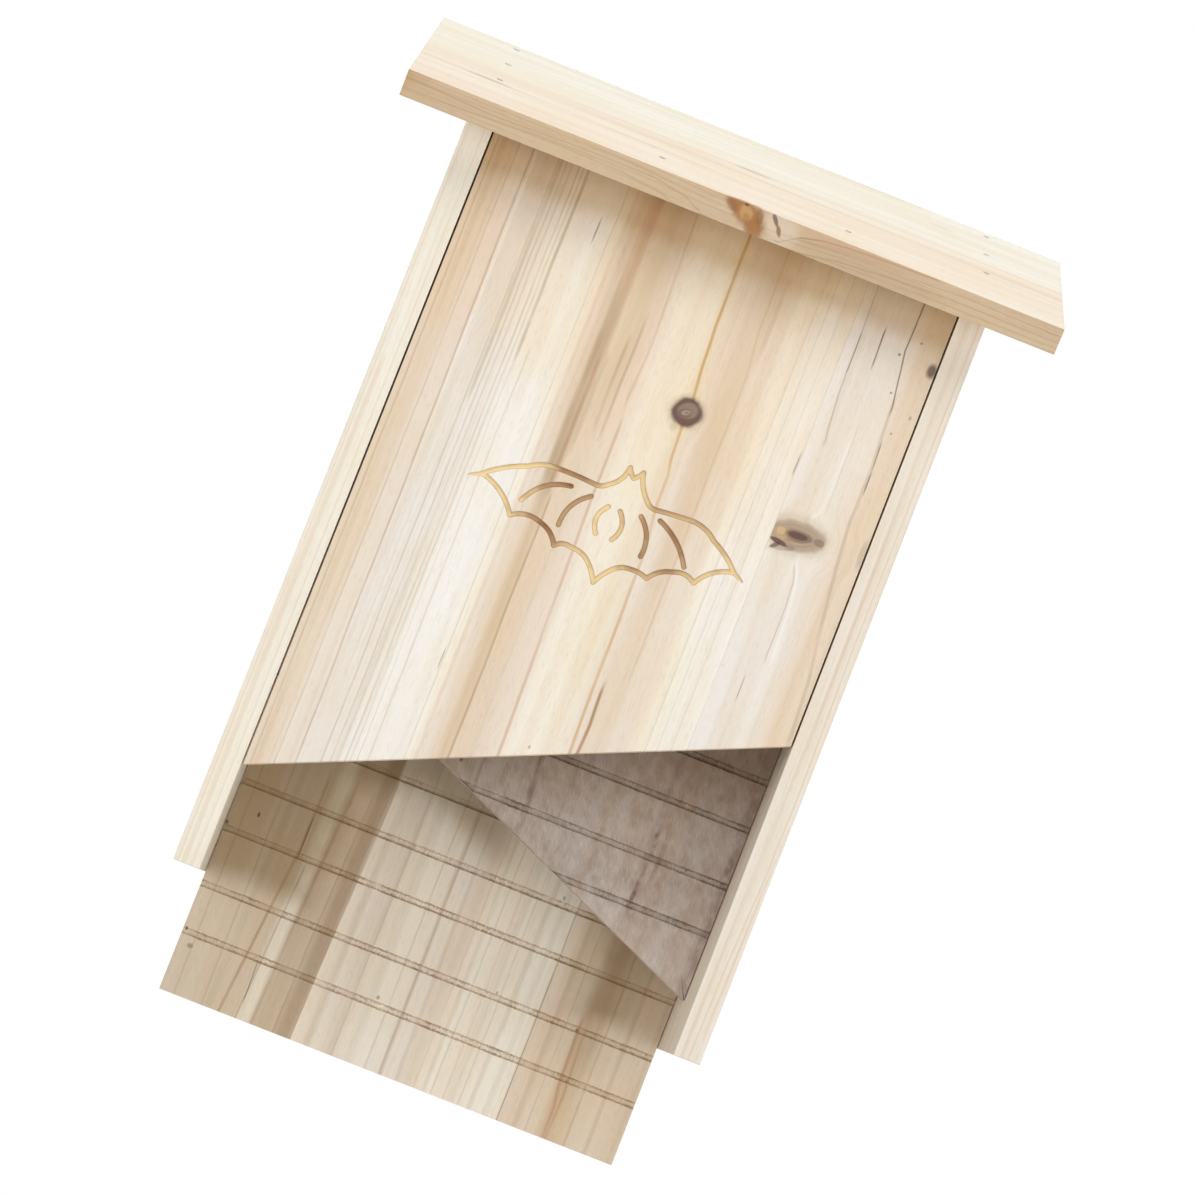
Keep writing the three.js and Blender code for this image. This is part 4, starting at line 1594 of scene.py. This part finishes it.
def grooved(finish, base, brown):
    """Ragged brown lines along the grooves' lips, stronger in places, and small pale chips beside them."""
    mark = finish.mark("grooved")
    patchy = rise(finish.noise("lip strength"), 0.36, 0.64, 0.5) + 0.30
    ragged = (finish.noise("lip rags") - 0.5) * 1.3
    chips = rise(finish.noise("lip chips"), 0.56, 0.68) * rise(mark, 0.15, 0.4, 0.55)
    colour_now = mix(rise(mark + ragged, 0.42, 1.0) * patchy, base, brown)
    return shade(chips, colour_now, CHIP_SHADE)


def middle_fir(face, tones):
    """The middle board: rough grey-brown weathered fir with slanting fibres and reddish stains, painted shade
    over its upper part and painted light at its lower tip.
    """
    finish = Finish("middle fir", "XZY", corner=(0, face, 0))
    spot = grain_place(finish, 5)
    colour_now, height, rough = fir(finish, tones.weathered, 0.45, spot, 17)
    slanting = finish.across + finish.along * 0.22
    nap = finish.noise("nap", slanting)
    mottle = finish.noise("mottle", slanting)
    colour_now = mix(rise(mottle, 0.48, 0.66, 0.16), colour_now, tones.pearl)
    colour_now = shade(rise(mottle, 0.50, 0.34, 0.42), colour_now, MIDDLE_MOTTLE_AND_PAINTED_SHADE)
    colour_now = mix(rise(nap, 0.54, 0.68, 0.24), colour_now, tones.pearl)
    colour_now = shade(rise(nap, 0.46, 0.32, 0.45), colour_now, MIDDLE_MOTTLE_AND_PAINTED_SHADE)
    # Painted light: the middle board's lower tip is lightened towards pearl
    colour_now = mix(rise(finish.along, -104, -142, 0.22), colour_now, tones.pearl)
    blotch = rise(finish.noise("blotches"), 0.30, 0.62, 0.8) + 0.3
    for tone_name, table in MIDDLE_STREAKS:
        colour_now = mix(finish.streaks(table, finish.across) * blotch, colour_now, getattr(tones, tone_name))
    colour_now = mix(finish.spots(MIDDLE_SPOTS) * blotch, colour_now, tones.stain)
    # Painted shade over the middle board's upper part, under the front board
    colour_now = shade(rise(finish.along + finish.across * -0.2, -96, -56), colour_now, MIDDLE_MOTTLE_AND_PAINTED_SHADE)
    return finish.finish(grooved(finish, colour_now, tones.dusk), rough + 0.15, height + nap, 0.12)


# Painted shade in the back board's corners beside the side boards and under the boards in front
BACK_PAINTED_SHADE = (0.64, 0.58, 0.48)
# Where the slanted edges of the boards in front cross, how steeply they fall, bounding the painted shade
# below them
EDGES_CROSS = -32
EDGES_FALL = 0.44
BACK_STAVES = (
    # place across, tone, strength of the growth lines
    (-108, "dun", 0.25), (-73, "dun", 0.25), (-70.4, "ivory", 0.25), (-66.6, "ivory", 0.25),
    (-63.8, "dusty", 0.3), (-54.8, "dusty", 0.3), (-51.6, "moss", 0.3), (-46.8, "moss", 0.3),
    (-45.6, "buff", 0.2), (-30, "blush", 0.25), (-20, "buff", 0.25), (6, "blush", 0.25),
    (16, "buff", 0.2), (27, "buff", 0.25), (51.8, "cream", 0.2), (52.6, "beige", 0.25), (60, "beige", 0.25),
    (69, "dun", 0.25), (77, "tan", 0.3), (86, "dun", 0.25), (98, "beige", 0.25), (108, "dun", 0.25),
)
BACK_JOINTS = (-71.5, -45, 52.4)
BACK_STREAKS = (
    ("moss", (
        (2.0, 0.25, (-85.0, -222), (-83.0, -110)),
        (2.2, 0.24, (-38.0, -222), (-37.0, -100)), (1.6, 0.22, (-27.6, -222), (-26.4, -100)),
        (2.8, 0.20, (-18.4, -222), (-19.6, -100)), (1.2, 0.34, (-3.0, -222), (-4.0, -100)),
        (1.0, 0.24, (4.6, -222), (3.6, -100)), (2.8, 0.14, (10.0,)), (1.2, 0.24, (17.6, -222), (16.4, -100)),
        (2.4, 0.16, (30.0,)), (1.4, 0.26, (39.2, -222), (40.6, -100)), (1.6, 0.18, (47.0,)),
        (6.5, 0.60, (77.0, -168), (76.5, -112)), (1.6, 0.35, (61.0,)), (1.2, 0.35, (94.2,)),
    )),
    ("umber", (
        (0.8, 0.50, (-80.0, -222), (-75.5, -176), (-72.4, -141), (-71.8, -110)),
        (0.5, 0.40, (-72.0, -222), (-70.2, -194), (-67.6, -150)),
        (0.9, 0.30, (-64.6, -222), (-59.4, -110)),
        (0.6, 0.30, (-54.2, -222), (-51.0, -110)),
        (0.6, 0.45, (-46.2, -222), (-43.4, -138), (-42.4, -100)),
        (0.5, 0.20, (-26.4,)), (0.6, 0.26, (-3.4,)), (0.4, 0.22, (34.2,)),
        (0.7, 0.30, (84.4,)),
        (0.9, 0.65, (74.6, -222), (74.4, -206), (73.0, -196), (72.2, -170)),
        (0.7, 0.50, (75.6, -222), (76.4, -200), (75.2, -172)),
    )),
    ("rose", (
        (2.4, 0.50, (74.6, -222), (74.0, -190), (73.8, -172)),
        (0.6, 0.25, (13.0,)), (0.6, 0.22, (27.0,)),
    )),
    ("olive", (
        (0.5, 0.25, (-101,)), (0.5, 0.25, (-88,)), (0.6, 0.25, (-10.4,)),
        (0.5, 0.22, (21.0,)), (0.5, 0.25, (66.0,)),
    )),
    ("bark", (
        (0.4, 0.70, (-72.0, -142), (-72.0, -128)),
        (0.3, 0.50, (52.8, -222), (52.8, -110)),
        (0.4, 0.50, (52.8, -158), (52.8, -152)),
        (0.3, 0.55, (-71.0, -210), (-71.4, -196)),
    )),
)
BACK_SPOTS = (
    (0.80, -95, -133, 0.9, 1.7), (0.80, -107, -141, 0.9, 1.2), (0.80, -106.2, -191.3, 0.9, 1.2),
    (0.50, -102, -198, 1.8, 1.6), (0.55, -16, -189, 1.0, 1.4), (0.60, 71.7, -170.4, 1.0, 1.2),
    (0.50, 45, -118, 0.8, 1.4), (0.45, 32.5, -168, 0.7, 1.2),
)


def back_fir(face, tones):
    """The back board: tan and pale staves, the left ones leaning slightly, with grooves across them.

    Beside the side boards, above their lower ends, and just below the front and middle boards'
    slanted edges, a painted shade darkens the wood where those boards shadow it.
    """
    finish = Finish("back fir", "XZY", corner=(0, face, 0))
    stave = staved(finish, BACK_JOINTS)
    spot = grain_place(finish, stave + 8, 1.0)
    leaning = finish.across - (finish.along + 220) * 0.033 * rise(finish.across, -20, -50)
    base, lines = ramp(leaning, BACK_STAVES, tones)
    colour_now, height, rough = fir(finish, base, lines, spot, stave + 29)
    colour_now = streaked(finish, colour_now, BACK_STREAKS, tones)
    colour_now = mix(finish.spots(BACK_SPOTS), colour_now, tones.bark)
    # Painted shade: the shadows of the side boards and of the boards in front, on the back board's front face
    # only
    uneven = (finish.noise("stain edge") - 0.5) * 20
    left = rise(finish.across + uneven, -46, -72)
    right = rise(finish.across + uneven, 52, 84) * (rise(finish.across, 100, 86) * 0.4 + 0.6)
    beside = strongest((left, right)) * rise(finish.along + uneven * 0.3, -170, -156)
    below_edges = finish.along + abs(finish.across - EDGES_CROSS) * EDGES_FALL
    under = rise(below_edges + uneven * 0.2, -104, -85) * rise(finish.across, 26, 0)
    painted_shade = strongest((beside, under)) * rise(finish.through, 4, 1)
    colour_now = shade(painted_shade, colour_now, BACK_PAINTED_SHADE)
    return finish.finish(grooved(finish, colour_now, tones.lip), rough, height)


def brad_steel(tones):
    """Drawn steel wire: fine bright and dull lines, rougher where it is dull."""
    finish = Finish("brad steel", "XZY")
    drawn = finish.noise("drawn steel")
    colour_now = mix(rise(drawn, 0.38, 0.66), tones.steel, tones.dull)
    finish.shader.inputs["Metallic"].default_value = 1.0
    return finish.finish(colour_now, drawn * 0.3 + 0.25, drawn, 0.01)


# Studio

CAMERA_PLACE = (-0.05322153, -2.17154598, -0.16446064)
CAMERA_YAW = 0.029215361537519437
CAMERA_PITCH = -0.08171235393041182
CAMERA_ROLL = 0.37354358083224876
SENSOR_WIDTH = 36
NEAREST_SEEN = 0.05
WHITE = (1, 1, 1, 1)
FLOOR_ROUGHNESS = 0.9


def direction(swing, fall):
    """A direction swung to the right from straight ahead, along Y, and then tipped down."""
    return Vector((math.sin(swing) * math.cos(fall), math.cos(swing) * math.cos(fall), -math.sin(fall)))


def aim_camera(scene, studio):
    """The photograph's camera: it looks ahead by its yaw and pitch, then turns about its line of sight."""
    forward = direction(CAMERA_YAW, CAMERA_PITCH)
    right = Vector((math.cos(CAMERA_YAW), -math.sin(CAMERA_YAW), 0))
    up = right.cross(forward)
    camera_x = math.cos(CAMERA_ROLL) * right + math.sin(CAMERA_ROLL) * up
    camera_y = -math.sin(CAMERA_ROLL) * right + math.cos(CAMERA_ROLL) * up
    lens = bpy.data.cameras.new("photo camera")
    lens.sensor_width = SENSOR_WIDTH
    lens.sensor_fit = "HORIZONTAL"
    lens.lens = studio.focal_length
    lens.clip_start = NEAREST_SEEN
    camera = bpy.data.objects.new("photo camera", lens)
    camera.matrix_world = Matrix.Translation(CAMERA_PLACE) @ Matrix(
        (camera_x, camera_y, -forward)
    ).transposed().to_4x4()
    scene.collection.objects.link(camera)
    scene.camera = camera


def seen_directly(tree):
    """1 where a ray comes from the camera, a reflection or glass, and 0 for the light that is shed."""
    path = tree.nodes.new("ShaderNodeLightPath")
    rays = ("Is Camera Ray", "Is Glossy Ray", "Is Transmission Ray")
    return strongest([Signal(tree, path.outputs[ray]) for ray in rays])


def light_world(scene, studio):
    """White all round to the eye, and a plain soft light on the box."""
    world = bpy.data.worlds.new("studio")
    world.use_nodes = True
    tree = world.node_tree
    background = tree.nodes["Background"]
    background.inputs["Color"].default_value = WHITE
    strength = seen_directly(tree) * (1 - studio.daylight) + studio.daylight
    feed(tree, background.inputs["Strength"], strength)
    scene.world = world


def add_lamp(scene, studio, name, power, swing, rise_up):
    """A square soft lamp that faces the box, swung to one side from the box's front, and raised."""
    lamp = bpy.data.lights.new(name, "AREA")
    lamp.energy = power
    lamp.size = studio.lamp_size
    holder = bpy.data.objects.new(name, lamp)
    shining = direction(-swing, rise_up)
    holder.location = shining * -studio.lamp_distance
    holder.rotation_euler = shining.to_track_quat("-Z", "Y").to_euler()
    scene.collection.objects.link(holder)


def add_floor(scene, studio):
    """A pale floor below the box that keeps its soft shadow, and glows more to the eye further off."""
    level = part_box("back_board")[0].z - studio.floor_drop
    reach = studio.floor_reach
    mesh = bpy.data.meshes.new("floor")
    corners = [(x * reach, y * reach, level) for x, y in ((-1, -1), (1, -1), (1, 1), (-1, 1))]
    mesh.from_pydata(corners, [], [(0, 1, 2, 3)])
    floor = bpy.data.objects.new("floor", mesh)
    scene.collection.objects.link(floor)
    material = bpy.data.materials.new("floor white")
    material.use_nodes = True
    tree = material.node_tree
    shader = tree.nodes["Principled BSDF"]
    feed(tree, shader.inputs["Base Color"], tuple(studio.floor_tone))
    shader.inputs["Roughness"].default_value = FLOOR_ROUGHNESS
    shader.inputs["Specular IOR Level"].default_value = 0.0
    shader.inputs["Emission Color"].default_value = WHITE
    place = tree.nodes.new("ShaderNodeTexCoord")
    away = tree.nodes.new("ShaderNodeVectorMath")
    away.operation = "LENGTH"
    tree.links.new(place.outputs["Object"], away.inputs[0])
    far = rise(Signal(tree, away.outputs["Value"]), studio.glow_start, studio.glow_end, studio.far_glow)
    feed(tree, shader.inputs["Emission Strength"], seen_directly(tree) * (far + studio.floor_glow))
    mesh.materials.append(material)


class BATBOX_OT_stage(bpy.types.Operator):
    """Sets the floor, the light and the photograph's camera"""

    bl_idname = "bat_box.stage"
    bl_label = "Stage"

    def execute(self, context):
        scene = context.scene
        studio = scene.bat_box_studio
        scene.view_settings.view_transform = "Standard"
        aim_camera(scene, studio)
        light_world(scene, studio)
        for name, sign in SIDES:
            swing = sign * studio.lamp_swing
            add_lamp(scene, studio, f"{name} lamp", studio.side_power, swing, studio.side_rise)
            swing = sign * studio.rear_swing
            add_lamp(scene, studio, f"rear {name} lamp", studio.rear_power, swing, studio.side_rise)
        add_lamp(scene, studio, "top lamp", studio.top_power, 0, studio.top_rise)
        add_floor(scene, studio)
        return {"FINISHED"}


OPERATORS = (
    BATBOX_OT_stage,
    BATBOX_OT_roof,
    BATBOX_OT_sides,
    BATBOX_OT_front_board,
    BATBOX_OT_middle_board,
    BATBOX_OT_back_board,
    BATBOX_OT_brads,
)


class BATBOX_PT_panel(bpy.types.Panel):
    """Lists the steps that build the bat box"""

    bl_idname = "BATBOX_PT_panel"
    bl_label = "Bat Box"
    bl_space_type = "VIEW_3D"
    bl_region_type = "UI"
    bl_category = "Bat Box"

    def draw(self, context):
        for operator in OPERATORS:
            self.layout.operator(operator.bl_idname)


def register():
    for group in GROUPS.values():
        bpy.utils.register_class(group)
    for name, group in GROUPS.items():
        setattr(bpy.types.Scene, name, bpy.props.PointerProperty(type=group))
    for item in (*OPERATORS, BATBOX_PT_panel):
        bpy.utils.register_class(item)


def unregister():
    for item in reversed((*OPERATORS, BATBOX_PT_panel)):
        bpy.utils.unregister_class(item)
    for name in reversed(GROUPS):
        delattr(bpy.types.Scene, name)
    for group in reversed(GROUPS.values()):
        bpy.utils.unregister_class(group)


def main():
    register()
    bpy.ops.bat_box.stage()
    bpy.ops.bat_box.roof()
    bpy.ops.bat_box.sides()
    bpy.ops.bat_box.front_board()
    bpy.ops.bat_box.middle_board()
    bpy.ops.bat_box.back_board()
    bpy.ops.bat_box.brads()


if __name__ == "__main__":
    main()
